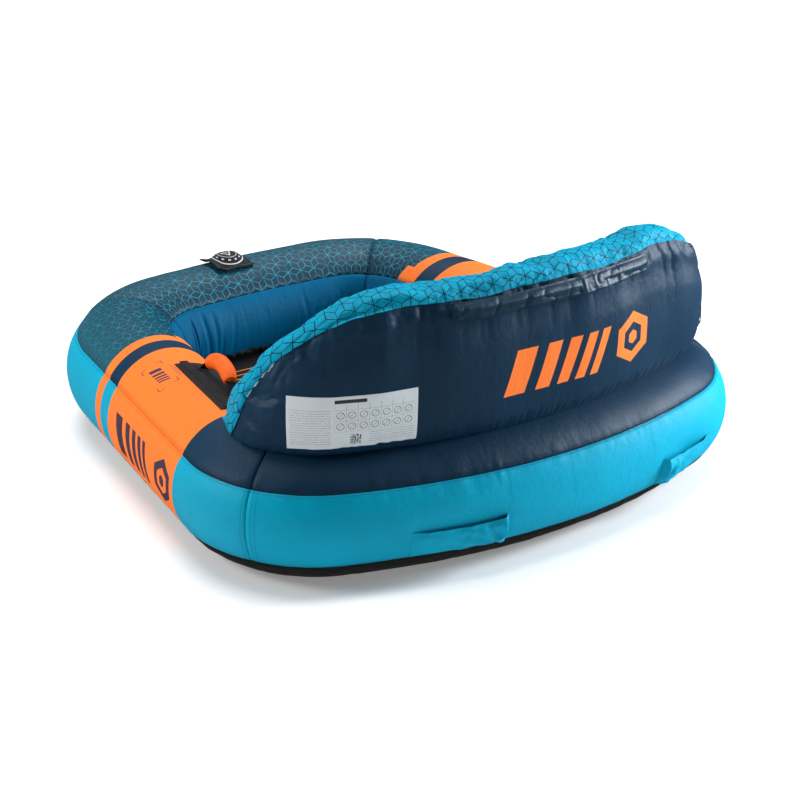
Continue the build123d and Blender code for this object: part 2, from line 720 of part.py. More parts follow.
pivot_out = (patch_radius + tow_pivot_reach) * cos(radians(tow_pivot_angle))
pivot_up = tube_height + (patch_radius + tow_pivot_reach) * sin(radians(tow_pivot_angle))
tow_side = Plane(origin=(0, front_apex_y - pivot_out, pivot_up), x_dir=(0, -1, 0), z_dir=(-1, 0, 0))
tow_face = Plane(origin=tow_side.origin, x_dir=(1, 0, 0), z_dir=(0, -1, 0))
strap_inner = tow_bar_radius + tow_strap_clearance
strap_outer = strap_inner + tow_strap_thickness


def leg_reach(height):
    """How far in from the bar a strap's leg meets the patch, where its upper face is at this height."""
    drop = tube_height - pivot_up - height
    return pivot_out - sqrt((patch_radius + seam_gap)**2 - drop**2)


with BuildPart() as tow_strap:
    with BuildSketch(tow_side) as loop:
        with BuildLine():
            outer_bend = CenterArc((0, 0), strap_outer, -90, 180)
            inner_bend = CenterArc((0, 0), strap_inner, -90, 180)
            upper_end = -leg_reach(strap_outer)
            lower_end = -leg_reach(-strap_inner)
            Polyline(outer_bend @ 1, (upper_end, strap_outer), (upper_end, strap_inner), inner_bend @ 1)
            Polyline(outer_bend @ 0, (lower_end, -strap_outer), (lower_end, -strap_inner), inner_bend @ 0)
        make_face()
    extrude(loop.sketch, amount=tow_strap_width / 2, both=True)
save(tow_strap, "tow_strap")

slot_half = tow_strap_width / 2 + tow_side_clearance
with BuildPart() as tow_eye:
    with BuildSketch(tow_face):
        with Locations((0, 0)):
            Rectangle(2 * (slot_half + tow_eye_arm), 2 * tow_bar_radius)
        with Locations((0, -tow_eye_length)):
            Circle(tow_eye_bore_radius + tow_eye_rim)
        make_hull()
        with Locations((0, -tow_slot_depth / 2)):
            Rectangle(2 * slot_half, tow_slot_depth + 2 * tow_bar_radius, mode=Mode.SUBTRACT)
        with Locations((0, -tow_eye_length)):
            Circle(tow_eye_bore_radius, mode=Mode.SUBTRACT)
    extrude(amount=tow_eye_thickness / 2, both=True)
    with BuildSketch(Plane(origin=tow_face.origin, x_dir=(0, 1, 0), z_dir=(1, 0, 0))):
        Circle(tow_bar_radius)
    extrude(amount=slot_half + tow_eye_arm / 2, both=True)
save(tow_eye, "tow_eye")

# Water vents: a flap over a slot backed by mesh
for side_name, (start, end) in vents.items():
    flap_span = Bend(rear_centre, rear_arc_radius, start, end)
    with BuildPart() as vent_flap:
        flap_span.carry(shell_section(flap_span.section_plane(tube_height),
                                      tube_radius + vent_flap_gap + vent_flap_thickness, vent_flap_thickness,
                                      vent_low_angle, vent_high_angle))
    save(vent_flap, f"{side_name}_vent_flap")

    lap = degrees(vent_mesh_lap / tube_radius)
    mesh_span = Bend(rear_centre, rear_arc_radius, start + vent_slot_margin / 2, end - vent_slot_margin / 2)
    with BuildPart() as vent_mesh:
        mesh_plane = mesh_span.section_plane(tube_height)
        mesh_span.carry(shell_section(mesh_plane, inner_radius - seam_gap, vent_mesh_thickness,
                                      vent_slot_low_angle - lap, vent_slot_high_angle + lap))
    save(vent_mesh, f"{side_name}_vent_mesh")
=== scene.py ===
import math

import bpy
import numpy as np
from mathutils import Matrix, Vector


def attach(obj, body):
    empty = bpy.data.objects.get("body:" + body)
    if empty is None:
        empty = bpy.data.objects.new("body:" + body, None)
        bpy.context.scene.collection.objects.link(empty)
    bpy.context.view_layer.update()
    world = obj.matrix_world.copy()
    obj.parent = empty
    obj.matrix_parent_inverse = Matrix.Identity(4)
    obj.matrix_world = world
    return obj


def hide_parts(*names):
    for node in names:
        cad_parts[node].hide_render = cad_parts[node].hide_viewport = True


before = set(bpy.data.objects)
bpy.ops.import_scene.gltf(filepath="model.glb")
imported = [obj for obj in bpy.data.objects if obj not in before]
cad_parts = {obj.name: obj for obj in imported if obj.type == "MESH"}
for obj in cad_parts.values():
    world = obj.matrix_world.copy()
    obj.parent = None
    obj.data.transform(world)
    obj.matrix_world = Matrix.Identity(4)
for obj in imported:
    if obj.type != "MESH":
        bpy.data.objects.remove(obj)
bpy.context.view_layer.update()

# Two-seat towable tube, in metres: +X the riders' left, -Y the towed end, +Z up.
# Lengths called s run along the ring's centreline from its front apex to the riders' left.
RING = "tube"

# Ring
TUBE_RADIUS = 0.165
TUBE_HEIGHT = 0.152
FRONT_CENTRE, FRONT_RADIUS = (0.0, 1.384), 2.038
REAR_CENTRE, REAR_RADIUS = (0.0, -0.708), 1.362
FRONT_CORNER, FRONT_CORNER_RADIUS = (0.212403, -0.366158), 0.275
REAR_CORNER, REAR_CORNER_RADIUS = (0.427640, 0.377824), 0.195
SIDE_START, SIDE_END = (0.483051, -0.414887), (0.619554, 0.343270)
FRONT_TURN, SIDE_FACING, REAR_TURN = -83.080, -10.2065, 68.504
OUTER_SEAM, INNER_SEAM, SKIRT_SEAM, DECK_SEAM = 34.4, 138.0, -36.0, 200.21
FOOT_ANGLE = -67.1
DECK_HEIGHT = 0.095
DECK_OFFSET = -0.1552

# Stretches of the left half of the centreline: (centre, radius, first angle, last angle) or (start, end)
STRETCHES = [
    (FRONT_CENTRE, FRONT_RADIUS, -90.0, FRONT_TURN),
    (FRONT_CORNER, FRONT_CORNER_RADIUS, FRONT_TURN, SIDE_FACING),
    (SIDE_START, SIDE_END),
    (REAR_CORNER, REAR_CORNER_RADIUS, SIDE_FACING, REAR_TURN),
    (REAR_CENTRE, REAR_RADIUS, REAR_TURN, 90.0),
]


def stretch_length(stretch):
    if len(stretch) == 2:
        return math.dist(*stretch)
    return stretch[1] * math.radians(stretch[3] - stretch[2])


LENGTHS = [stretch_length(stretch) for stretch in STRETCHES]
ENDS = np.cumsum(LENGTHS)
HALF = float(ENDS[-1])
FRONT_CROSS = float(ENDS[0] + LENGTHS[1] / 2)
REAR_CROSS = float(ENDS[2] + LENGTHS[3] / 2)
CROSSES = [FRONT_CROSS, REAR_CROSS, 2 * HALF - REAR_CROSS, 2 * HALF - FRONT_CROSS]

# Backrest, along s from its left tip
TIP = float(ENDS[2]) - 0.066
BACK_LENGTH = 2 * (HALF - TIP)
RIDGE = [(0.0, 0.308), (0.035, 0.372), (0.106, 0.457), (0.187, 0.542), (0.26, 0.606), (0.33, 0.651),
         (0.42, 0.682), (0.55, 0.688), (0.845, 0.692)]
SEAM = [(0.0, 0.20), (0.09, 0.29), (0.133, 0.395), (0.174, 0.471), (0.227, 0.545), (0.274, 0.589),
        (0.33, 0.626), (0.42, 0.652), (0.55, 0.656), (0.845, 0.656)]

# Photograph's view
VIEW_AZIMUTH, VIEW_ELEVATION, VIEW_DISTANCE = 145.4, 23.456, 6.390
VIEW_TARGET = (0.1325, 0.1507, 0.1065)
VIEW_LENS, VIEW_SHIFT = 111.41, (0.0472, 0.0404)

# Grab handles: the line they rock about, and the arch of their grips
SIDE_PIVOT, SIDE_AXIS = (0.52893, 0.09610, 0.32142), (0.1772, 0.9842, 0)
SIDE_OUT = (-0.25472, 0.04586, 0.96593)
CENTRE_PIVOT = (0.070, -0.090, 0.101)
ARCH_RADIUS, ARCH_TOP, ARCH_SWEEP, GRIP_RADIUS = 0.1211, 0.046, 70, 0.0206

# Valve covers: centre of the cap and the direction of the hinge edge
RING_VALVE, RING_VALVE_ALONG = (0.04019, -0.65360, 0.317), (0.999806, 0.019721, 0)
BACK_VALVE, BACK_VALVE_OUT = (-0.64070, 0.52154, 0.388), (-0.829, 0.559, 0)

LATTICE = np.random.default_rng(11).uniform(-1, 1, (256, 256))


# ---------------------------------------------------------------- shape helpers
def noise(u, v, row=0):
    """Smooth noise from -1 to 1 over a lattice of unit squares."""
    u, v = np.broadcast_arrays(np.asarray(u, float), np.asarray(v, float) + 31.7 * row)
    i, j = np.floor(u).astype(int), np.floor(v).astype(int)
    a, b = u - i, v - j
    a, b = a * a * (3 - 2 * a), b * b * (3 - 2 * b)
    low = LATTICE[i % 256, j % 256] * (1 - a) + LATTICE[(i + 1) % 256, j % 256] * a
    high = LATTICE[i % 256, (j + 1) % 256] * (1 - a) + LATTICE[(i + 1) % 256, (j + 1) % 256] * a
    return low * (1 - b) + high * b


def bell(x, width):
    return np.exp(-(np.asarray(x) / width) ** 2)


def ease(x, low, high):
    t = np.clip((np.asarray(x, float) - low) / (high - low), 0, 1)
    return t * t * (3 - 2 * t)


def grid(first, second):
    """Every pairing of two rows of values, as two arrays."""
    return np.meshgrid(first, second, indexing="ij")


def curve_through(pairs, x):
    """A smooth curve through a few (place, value) pairs."""
    places, values = np.array(pairs).T
    slopes = np.gradient(values, places)
    x = np.clip(x, places[0], places[-1])
    i = np.clip(np.searchsorted(places, x) - 1, 0, len(places) - 2)
    step = places[i + 1] - places[i]
    t = (x - places[i]) / step
    return ((1 + 2 * t) * (1 - t) ** 2 * values[i] + t * (1 - t) ** 2 * step * slopes[i]
            + t * t * (3 - 2 * t) * values[i + 1] + t * t * (t - 1) * step * slopes[i + 1])


def ring_line(s):
    """Points of the ring's centreline and its outward directions at lengths s."""
    s = np.mod(np.asarray(s, float), 2 * HALF)
    t = np.where(s <= HALF, s, 2 * HALF - s)
    side = np.where(s <= HALF, 1.0, -1.0)
    point, out = np.zeros(t.shape + (2,)), np.zeros(t.shape + (2,))
    for stretch, length, end in zip(STRETCHES, LENGTHS, ENDS):
        here = (t >= end - length - 1e-9) & (t <= end + 1e-9)
        share = (t[here] - end + length) / length
        if len(stretch) == 2:
            start, stop = map(np.array, stretch)
            along = (stop - start) / length
            point[here] = start + share[:, None] * (stop - start)
            out[here] = (along[1], -along[0])
        else:
            centre, radius, first, last = stretch
            turn = np.radians(first + share * (last - first))
            out[here] = np.stack([np.cos(turn), np.sin(turn)], -1)
            point[here] = np.array(centre) + radius * out[here]
    for array in (point, out):
        array[..., 0] *= side
    return point, out


def on_ring(s, angle, rise=0.0):
    """Points at lengths s and angles round the tube, rise outside its cover."""
    point, out = ring_line(s)
    reach = TUBE_RADIUS + rise
    turn = np.radians(angle)
    flat = point + out * (reach * np.cos(turn))[..., None]
    return np.concatenate([flat, (TUBE_HEIGHT + reach * np.sin(turn))[..., None]], -1)


def upright(s, offset, height):
    """Points at lengths s, an offset outside the ring's centreline, and a height above the ground."""
    point, out = ring_line(s)
    flat = point + out * np.asarray(offset)[..., None]
    return np.concatenate([flat, np.broadcast_to(height, flat.shape[:-1])[..., None]], -1)


def add_object(name, mesh, material, body=RING, smooth=True):
    piece = bpy.data.objects.new(name, mesh)
    bpy.context.scene.collection.objects.link(piece)
    if material is not None:
        mesh.materials.append(material)
    mesh.polygons.foreach_set("use_smooth", [smooth] * len(mesh.polygons))
    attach(piece, body)
    return piece


def add_uv(mesh, name, values):
    corners = np.zeros(len(mesh.loops), int)
    mesh.loops.foreach_get("vertex_index", corners)
    layer = mesh.uv_layers.new(name=name)
    layer.data.foreach_set("uv", np.asarray(values, float).reshape(-1, 2)[corners].ravel())


def grid_faces(rows, columns, wrap_rows=False, wrap_columns=False, flip=False):
    last_row, last_column = rows - (not wrap_rows), columns - (not wrap_columns)
    i, j = grid(np.arange(last_row), np.arange(last_column))
    i, j = i.ravel(), j.ravel()
    k, m = (i + 1) % rows, (j + 1) % columns
    quads = np.stack([i * columns + j, k * columns + j, k * columns + m, i * columns + m], 1)
    return quads[:, ::-1] if flip else quads


def make_mesh(name, points, faces, cloth=None, extra=None):
    mesh = bpy.data.meshes.new(name)
    mesh.from_pydata(np.asarray(points, float).reshape(-1, 3).tolist(), [], np.asarray(faces).tolist())
    if cloth is not None:
        add_uv(mesh, "cloth", cloth)
    if extra is not None:
        add_uv(mesh, "print", extra)
    return mesh


def stand_in(name, points, faces, cloth, material, node, body=RING):
    """A piece of one surface that takes a CAD node's place."""
    piece = add_object(name, make_mesh(name, points, faces, cloth), material, body)
    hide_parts(node)
    return piece


def slab(name, points, cloth, thickness, material, body=RING):
    """A closed sheet of some thickness under a grid of points, with rounded edges."""
    rows, columns = points.shape[:2]
    across = np.gradient(points, axis=1)
    along = np.gradient(points, axis=0)
    normal = np.cross(along, across)
    normal /= np.maximum(np.linalg.norm(normal, axis=-1, keepdims=True), 1e-12)
    top, under = points.reshape(-1, 3), (points - normal * thickness).reshape(-1, 3)
    faces = grid_faces(rows, columns)
    index = np.arange(rows * columns).reshape(rows, columns)
    rim = np.concatenate([index[:, 0], index[-1, 1:], index[::-1, -1][1:], index[0, ::-1][1:-1]])
    following = np.roll(rim, -1)
    count = rows * columns
    sides = np.stack([rim, following, following + count, rim + count], 1)
    everything = np.concatenate([faces, faces[:, ::-1] + count, sides[:, ::-1]])
    flat = np.asarray(cloth, float).reshape(-1, 2)
    mesh = make_mesh(name, np.concatenate([top, under]), everything, np.concatenate([flat, flat]))
    piece = add_object(name, mesh, material, body)
    bevel = piece.modifiers.new("edge", "BEVEL")
    bevel.width, bevel.segments, bevel.limit_method = thickness * 0.35, 2, "ANGLE"
    bevel.angle_limit = math.radians(50)
    return piece


def stitch_row(points, normals, pitch=0.0052, length=0.0036, radius=0.00062):
    """Stitches along a line: their points and faces."""
    steps = np.linalg.norm(np.diff(points, axis=0), axis=1)
    run = np.concatenate([[0], np.cumsum(steps)])
    middles = np.arange(pitch, run[-1] - pitch, pitch)

    def at(place):
        return np.stack([np.interp(place, run, points[:, k]) for k in range(3)], -1)

    head, tail = at(middles + length / 2), at(middles - length / 2)
    up = np.stack([np.interp(middles, run, normals[:, k]) for k in range(3)], -1)
    up /= np.linalg.norm(up, axis=1, keepdims=True)
    side = np.cross(head - tail, up)
    side /= np.maximum(np.linalg.norm(side, axis=1, keepdims=True), 1e-12)
    middle = (head + tail) / 2
    corners = [tail, middle + up * radius, middle + side * radius, middle - side * radius, head]
    verts = np.stack(corners, 1).reshape(-1, 3)
    base = np.arange(len(middles))[:, None, None] * 5
    shape = np.array([[0, 2, 1], [0, 1, 3], [4, 1, 2], [4, 3, 1]])
    return verts, (base + shape[None]).reshape(-1, 3)


def stitching(name, lines, material, body=RING, **sizes):
    """One piece holding every stitch along some lines, each given as (points, normals)."""
    verts, faces, count = [], [], 0
    for points, normals in lines:
        v, f = stitch_row(points, normals, **sizes)
        verts.append(v)
        faces.append(f + count)
        count += len(v)
    return add_object(name, make_mesh(name, np.concatenate(verts), np.concatenate(faces)), material, body)


# ---------------------------------------------------------------- node maths
def srgb(red, green, blue):
    """A colour as Blender wants it, from 0-255 screen values."""
    shares = [c / 255 for c in (red, green, blue)]
    return (*[((c + 0.055) / 1.055) ** 2.4 if c > 0.04 else c / 12.92 for c in shares], 1.0)


class Number:
    """A number in a node tree, so that node maths reads as Python."""

    def __init__(self, tree, socket):
        self.tree, self.socket = tree, socket

    def math(self, operation, *others, clamp=False):
        node = self.tree.nodes.new("ShaderNodeMath")
        node.operation, node.use_clamp = operation, clamp
        for slot, value in zip(node.inputs, (self, *others)):
            if isinstance(value, Number):
                self.tree.links.new(value.socket, slot)
            else:
                slot.default_value = value
        return Number(self.tree, node.outputs[0])

    def __add__(self, other):
        return self.math("ADD", other)

    def __sub__(self, other):
        return self.math("SUBTRACT", other)

    def __mul__(self, other):
        return self.math("MULTIPLY", other)

    def __truediv__(self, other):
        return self.math("DIVIDE", other)

    def __mod__(self, other):
        return self.math("FLOORED_MODULO", other)

    def abs(self):
        return self.math("ABSOLUTE")

    def sine(self):
        return self.math("SINE")

    def least(self, other):
        return self.math("MINIMUM", other)

    def most(self, other):
        return self.math("MAXIMUM", other)

    def over(self, edge):
        return self.math("GREATER_THAN", edge)

    def under(self, edge):
        return self.math("LESS_THAN", edge)

    def ramp(self, low, high):
        return (self - low).math("DIVIDE", high - low, clamp=True)

    def between(self, low, high):
        return self.over(low) * self.under(high)


def length_of(x, y):
    return (x * x + y * y).math("SQRT")


class Finish:
    """A material being made: one Principled shader with its coordinates, colour layers and bumps."""

    def __init__(self, name, colour, roughness, coordinates="cloth"):
        self.material = bpy.data.materials.new(name)
        self.material.use_nodes = True
        self.tree = self.material.node_tree
        self.shader = self.tree.nodes["Principled BSDF"]
        self.shader.inputs["Roughness"].default_value = roughness
        self.coordinates(coordinates)
        flat = self.tree.nodes.new("ShaderNodeRGB")
        flat.outputs[0].default_value = colour
        self.colour = flat.outputs[0]
        self.normal = None

    def coordinates(self, source):
        """Use a piece's cloth coordinates, in metres along and across it, or its place in space."""
        if source == "space":
            node = self.tree.nodes.new("ShaderNodeTexCoord")
            self.vector = node.outputs["Object"]
        else:
            node = self.tree.nodes.new("ShaderNodeUVMap")
            node.uv_map = source
            self.vector = node.outputs[0]
        split = self.tree.nodes.new("ShaderNodeSeparateXYZ")
        self.tree.links.new(self.vector, split.inputs[0])
        self.u, self.v, self.w = (Number(self.tree, split.outputs[k]) for k in range(3))

    def noise(self, scale, detail=3.0, stretch=(1, 1, 1), distortion=0.0):
        mapping = self.tree.nodes.new("ShaderNodeMapping")
        mapping.inputs["Scale"].default_value = stretch
        self.tree.links.new(self.vector, mapping.inputs[0])
        node = self.tree.nodes.new("ShaderNodeTexNoise")
        node.inputs["Scale"].default_value = scale
        node.inputs["Detail"].default_value = detail
        node.inputs["Distortion"].default_value = distortion
        self.tree.links.new(mapping.outputs[0], node.inputs["Vector"])
        return Number(self.tree, node.outputs[0])

    def paint(self, mask, colour, share=1.0):
        """Lay a colour over what is there, where the mask is 1."""
        mix = self.tree.nodes.new("ShaderNodeMix")
        mix.data_type = "RGBA"
        amount = mask * share if share != 1.0 else mask
        self.tree.links.new(amount.socket, mix.inputs[0])
        self.tree.links.new(self.colour, mix.inputs[6])
        mix.inputs[7].default_value = colour
        self.colour = mix.outputs[2]

    def vary(self, pattern, low, high):
        """Darken and lighten the colour with a pattern from 0 to 1."""
        node = self.tree.nodes.new("ShaderNodeHueSaturation")
        self.tree.links.new((pattern * (high - low) + low).socket, node.inputs["Value"])
        self.tree.links.new(self.colour, node.inputs["Color"])
        self.colour = node.outputs[0]

    def roughen(self, pattern, low, high):
        self.tree.links.new((pattern * (high - low) + low).socket, self.shader.inputs["Roughness"])

    def bump(self, height, distance, strength=1.0):
        node = self.tree.nodes.new("ShaderNodeBump")
        node.inputs["Distance"].default_value = distance
        node.inputs["Strength"].default_value = strength
        self.tree.links.new(height.socket, node.inputs["Height"])
        if self.normal is not None:
            self.tree.links.new(self.normal, node.inputs["Normal"])
        self.normal = node.outputs[0]

    def weave(self, pitch, distance):
        """Over-and-under threads."""
        turn = 2 * math.pi / pitch
        self.bump((self.u * turn).sine() * (self.v * turn).sine(), distance)

    def set(self, **values):
        for name, value in values.items():
            self.shader.inputs[name.replace("_", " ")].default_value = value
        return self

    def done(self):
        self.tree.links.new(self.colour, self.shader.inputs["Base Color"])
        if self.normal is not None:
            self.tree.links.new(self.normal, self.shader.inputs["Normal"])
        return self.material


def cube_lines(u, v, pitch, width):
    """A mask of lines that read as stacked cubes: hexagons, each with three spokes."""
    half, tall = pitch / 2, pitch * math.sqrt(3) / 2
    near = (u % pitch) - half, (v % (2 * tall)) - tall
    other = ((u - half) % pitch) - half, ((v - tall) % (2 * tall)) - tall
    pick = length_of(*other).math("LESS_THAN", length_of(*near))
    x, y = (a + (b - a) * pick for a, b in zip(near, other))
    reach = x.abs().most(x.abs() * 0.5 + y.abs() * (math.sqrt(3) / 2))
    lines = reach.over(half - width / 2)
    for turn in (math.pi / 2, math.pi * 7 / 6, math.pi * 11 / 6):
        along = x * math.cos(turn) + y * math.sin(turn)
        across = (x * math.sin(turn) - y * math.cos(turn)).abs()
        lines = lines.most(along.over(0) * across.under(width / 2))
    return lines


def slanted_bars(u, v, left, low, width, height, count, lean):
    """A generic mark: leaning bars side by side, each thinner than the one before."""
    x, y = ((u - left) - (v - low) * lean) / width, v - low
    inside = x.between(0, 1) * y.between(0, height)
    spread = x * (x * 0.5 + 0.5) * count
    return inside * (spread % 1.0).under(0.60)


def covered(name, colour, roughness=0.47, grain=1.0, gloss=0.24):
    """The ring's coated woven cover: fine threads, soft crinkles, faint marks of handling."""
    finish = Finish(name, colour, roughness)
    finish.vary(finish.noise(7, 4), 0.88, 1.1)
    finish.vary(finish.noise(90, 3, stretch=(1, 3, 1)), 0.95, 1.05)
    finish.roughen(finish.noise(22, 4), roughness - 0.07, roughness + 0.1)
    finish.weave(0.0016, 0.00006 * grain)
    finish.bump(finish.noise(38, 4, stretch=(1.6, 1, 1), distortion=0.6), 0.0011 * grain)
    finish.set(Specular_IOR_Level=gloss)
    return finish


CYAN, NAVY = srgb(0, 156, 188), srgb(14, 48, 72)
BLUE, ORANGE = srgb(0, 92, 132), srgb(248, 121, 46)
DEEP, LINE = srgb(8, 48, 66), srgb(16, 150, 176)
# painted sheen: a lighter teal laid along the outer side of the top bands, where light catches them
PAINTED_SHEEN = srgb(40, 96, 112)
BLACK, DARK_LINE = srgb(17, 17, 19), srgb(6, 46, 62)
# Where the printed stripes stand, as places along Y on the left, and how far forward the right ones are
STRIPES = {"thin": (-0.279, -0.241), "thin_step": -0.301, "gap": -0.184, "block": 0.278}
RIGHT_SHIFT = -0.095


def stripe_places(side):
    shift = 0.0 if side == "left" else RIGHT_SHIFT
    return tuple(place + shift for place in (*STRIPES["thin"], STRIPES["gap"], STRIPES["block"]))


def block_mark(place, across, side):
    """A generic dark mark on the orange: leaning bars inside four corner ticks."""
    shift = 0.0 if side == "left" else RIGHT_SHIFT
    u, v = place - (-0.055 + shift), across - 0.198
    bars = slanted_bars(u, v, -0.045, -0.016, 0.082, 0.032, 5, 0.35)
    frame_edge = u.abs().between(0.066, 0.0685) * v.abs().under(0.030)
    frame_edge = frame_edge.most(v.abs().between(0.0285, 0.031) * u.abs().under(0.0685))
    ticks = frame_edge * (u.abs().over(0.048)) * (v.abs().over(0.014))
    short = u.between(-0.01, 0.05) * v.between(0.046, 0.0472)
    fine = u.between(-0.03, 0.05) * (v.between(0.040, 0.0415)).most(short)
    return bars.most(ticks).most(fine)


def side_cover(side, band):
    """The long sides' prints: a thin stripe, a gap and a wide block of orange, then the plain colour; the
    top band also carries a painted sheen, a lighter teal along its outer side.
    """
    base = {"top": DEEP, "outer": CYAN}[band]
    finish = covered(f"{side}_{band}_cover", base, gloss=0.12)
    u, v, vector = finish.u, finish.v, finish.vector
    finish.coordinates("print")
    place, across = finish.u, finish.v
    thin_start, thin_end, gap_end, block_end = stripe_places(side)
    if band == "top":
        inner = across.ramp(0.13, 0.36)
        # painted sheen: lighter teal on the band's outer side, fading out towards the inner seam
        finish.paint(inner * -1.0 + 1.0, PAINTED_SHEEN, 0.6)
        fade = (inner * 0.7 + 0.3) * finish.noise(26, 2).ramp(0.25, 0.6)
        lines = cube_lines(u, v, 0.043, 0.0021)
        finish.paint(lines * (fade * 0.8 + 0.1), LINE)
        finish.paint(place.over(thin_end - 0.002), NAVY)
        step = across.over(0.345)
        front = step * -0.022 + thin_start
        finish.paint((place - front).over(0) * place.under(thin_end), ORANGE)
    else:
        finish.paint(place.between(thin_start, thin_end), ORANGE)
    finish.paint(place.between(gap_end, block_end), ORANGE)
    if band == "top":
        finish.paint(block_mark(place, across, side), NAVY, 0.94)
    else:
        shift = 0.0 if side == "left" else RIGHT_SHIFT
        mark = slanted_bars(place, across, -0.100 + shift, -0.050, 0.225, 0.100, 5, -0.32)
        x, y = place - (0.205 + shift), across
        reach = x.abs().most(x.abs() * 0.5 + y.abs() * (math.sqrt(3) / 2))
        hexagon = reach.between(0.030, 0.050).most(reach.under(0.014))
        finish.paint(mark.most(hexagon), NAVY, 0.94)
    finish.vector = vector
    finish.paint(finish.noise(260, 2).ramp(0.60, 0.8), srgb(255, 255, 255), 0.03)
    return finish.done()


def front_top_cover():
    finish = covered("front_top_cover", DEEP)
    inner = finish.v.ramp(0.13, 0.36)
    # painted sheen: lighter teal on the panel's outer side, fading out towards the inner seam
    finish.paint(inner * -1.0 + 1.0, PAINTED_SHEEN, 0.55)
    patches = finish.noise(24, 2).ramp(0.28, 0.6)
    lines = cube_lines(finish.u, finish.v, 0.043, 0.0021)
    finish.paint(lines * (inner * 0.75 + 0.25) * (patches * 0.75 + 0.25), LINE, 0.85)
    return finish.done()


def ridge_cover():
    finish = covered("ridge_cover", srgb(0, 150, 184), 0.55, 1.4, 0.08)
    lines = cube_lines(finish.u, finish.v, 0.042, 0.0021)
    finish.paint(lines * (finish.noise(20, 2).ramp(0.22, 0.5) * 0.6 + 0.4), DARK_LINE)
    return finish.done()


def backrest_back_cover():
    """Navy, with a generic orange mark of leaning bars and a hexagon."""
    finish = covered("backrest_back_cover", NAVY, 0.40, 1.3, 0.16)
    u, v = finish.u, finish.v
    middle = HALF + 0.118
    bars = slanted_bars(u, v, middle - 0.235, 0.398, 0.285, 0.112, 5, 0.32)
    x, y = u - (middle + 0.155), v - 0.457
    reach = x.abs().most(x.abs() * 0.5 + y.abs() * (math.sqrt(3) / 2))
    hexagon = reach.between(0.034, 0.058).most(reach.under(0.016))
    finish.paint(bars.most(hexagon), ORANGE)
    return finish.done()


def label_print():
    """White cloth, painted a greyer white for the shade it lies in, with generic boxes, rings and rows of
    grey marks.
    """
    # base colour: the cloth's white darkened with painted shade
    finish = Finish("label_cloth", srgb(206, 213, 217), 0.6)
    u, v = finish.u, finish.v
    grey, ink = srgb(150, 154, 160), srgb(52, 54, 58)
    words = finish.noise(520, 1, stretch=(1, 0.4, 1)).over(0.46)
    rows = (v % 0.0062).under(0.0021) * words
    columns = (u.between(0.008, 0.100) * v.between(0.010, 0.105))
    columns = columns.most(u.between(0.188, 0.296) * v.between(0.008, 0.040))
    finish.paint(rows * columns, grey, 0.8)
    cell_u, cell_v = ((u - 0.108) % 0.0265) - 0.01325, ((v - 0.044) % 0.0285) - 0.01425
    table = u.between(0.108, 0.293) * v.between(0.044, 0.1155)
    lines = cell_u.abs().over(0.0129).most(cell_v.abs().over(0.0139))
    ring = length_of(cell_u, cell_v)
    figure = ring.between(0.0078, 0.0092).most((cell_u - cell_v).abs().under(0.0007) * ring.under(0.008))
    finish.paint(table * lines, ink, 0.7)
    finish.paint(table * v.between(0.044, 0.101) * figure, ink, 0.85)
    finish.paint(u.between(0.108, 0.181) * v.between(0.1175, 0.1265), ink)
    finish.paint(u.between(0.145, 0.170) * v.between(0.010, 0.036) * finish.noise(330, 0).over(0.5), ink)
    finish.vary(finish.noise(30, 3), 0.94, 1.03)
    finish.weave(0.0012, 0.00004)
    finish.bump(finish.noise(70, 3), 0.0006)
    return finish.set(Specular_IOR_Level=0.35).done()


def deck_print():
    """Dark soft neoprene with embossed ribs and nested orange lines round each seat."""
    finish = Finish("deck_neoprene", srgb(17, 14, 17), 0.75)
    u, v = finish.u, finish.v
    x, y = (u.abs() - 0.205).abs(), (v + 0.02).abs()
    side, end = x - 0.075, y - 0.33
    distance = length_of(side.most(0.0), end.most(0.0)) + side.most(end).least(0.0)
    lines = ((distance + 0.35) % 0.0265).under(0.0042)
    finish.paint(lines * distance.under(0.062), ORANGE, 0.92)
    finish.vary(finish.noise(40, 4), 0.8, 1.15)
    finish.bump(finish.noise(900, 2), 0.0003)
    finish.bump(((distance + 0.35) % 0.0265).between(0.006, 0.0245), 0.0012)
    return finish.set(Specular_IOR_Level=0.14).done()


def emblem_neoprene():
    """Black neoprene with a pale generic mark: rings, a circle of dots and a triangle."""
    finish = Finish("emblem_neoprene", srgb(30, 30, 32), 0.78)
    u, v = finish.u, finish.v
    ring = length_of(u, v)
    mark = ring.between(0.0430, 0.0455).most(ring.between(0.0265, 0.0282))
    turn = v.math("ARCTAN2", u)
    dots = (turn * (36 / math.pi)).sine().over(0.35) * ring.between(0.0340, 0.0372)
    triangle = (v + 0.012).over(0) * (u.abs() * 1.7 + v).under(0.018)
    inner = (v + 0.008).over(0) * (u.abs() * 1.7 + v).under(0.011)
    finish.paint(mark.most(dots).most(triangle * (inner * -1.0 + 1.0)), srgb(214, 218, 220), 0.85)
    finish.vary(finish.noise(60, 4), 0.75, 1.25)
    finish.weave(0.0017, 0.00012)
    finish.bump(finish.noise(140, 3), 0.0005)
    return finish.set(Sheen_Weight=0.04, Specular_IOR_Level=0.16).done()


def woven_black(name, coordinates="cloth", pitch=0.0022, colour=BLACK):
    """Narrow webbing: diagonal ribs and a little fluff."""
    finish = Finish(name, colour, 0.72, coordinates)
    finish.vary(finish.noise(120, 4), 0.7, 1.35)
    turn = 2 * math.pi / pitch
    finish.bump(((finish.u + finish.v) * turn).sine() * ((finish.u - finish.v) * turn).sine(), 0.00022)
    return finish.set(Sheen_Weight=0.04, Specular_IOR_Level=0.16).done()


def moulded(name, colour, roughness, scale=420, depth=0.00012):
    """Moulded plastic or vinyl: fine spark texture, slightly mottled, rubbed smoother in places."""
    finish = Finish(name, colour, roughness, "space")
    finish.vary(finish.noise(35, 4), 0.88, 1.12)
    finish.roughen(finish.noise(60, 3), roughness - 0.1, roughness + 0.12)
    finish.bump(finish.noise(scale, 2), depth)
    return finish.done()


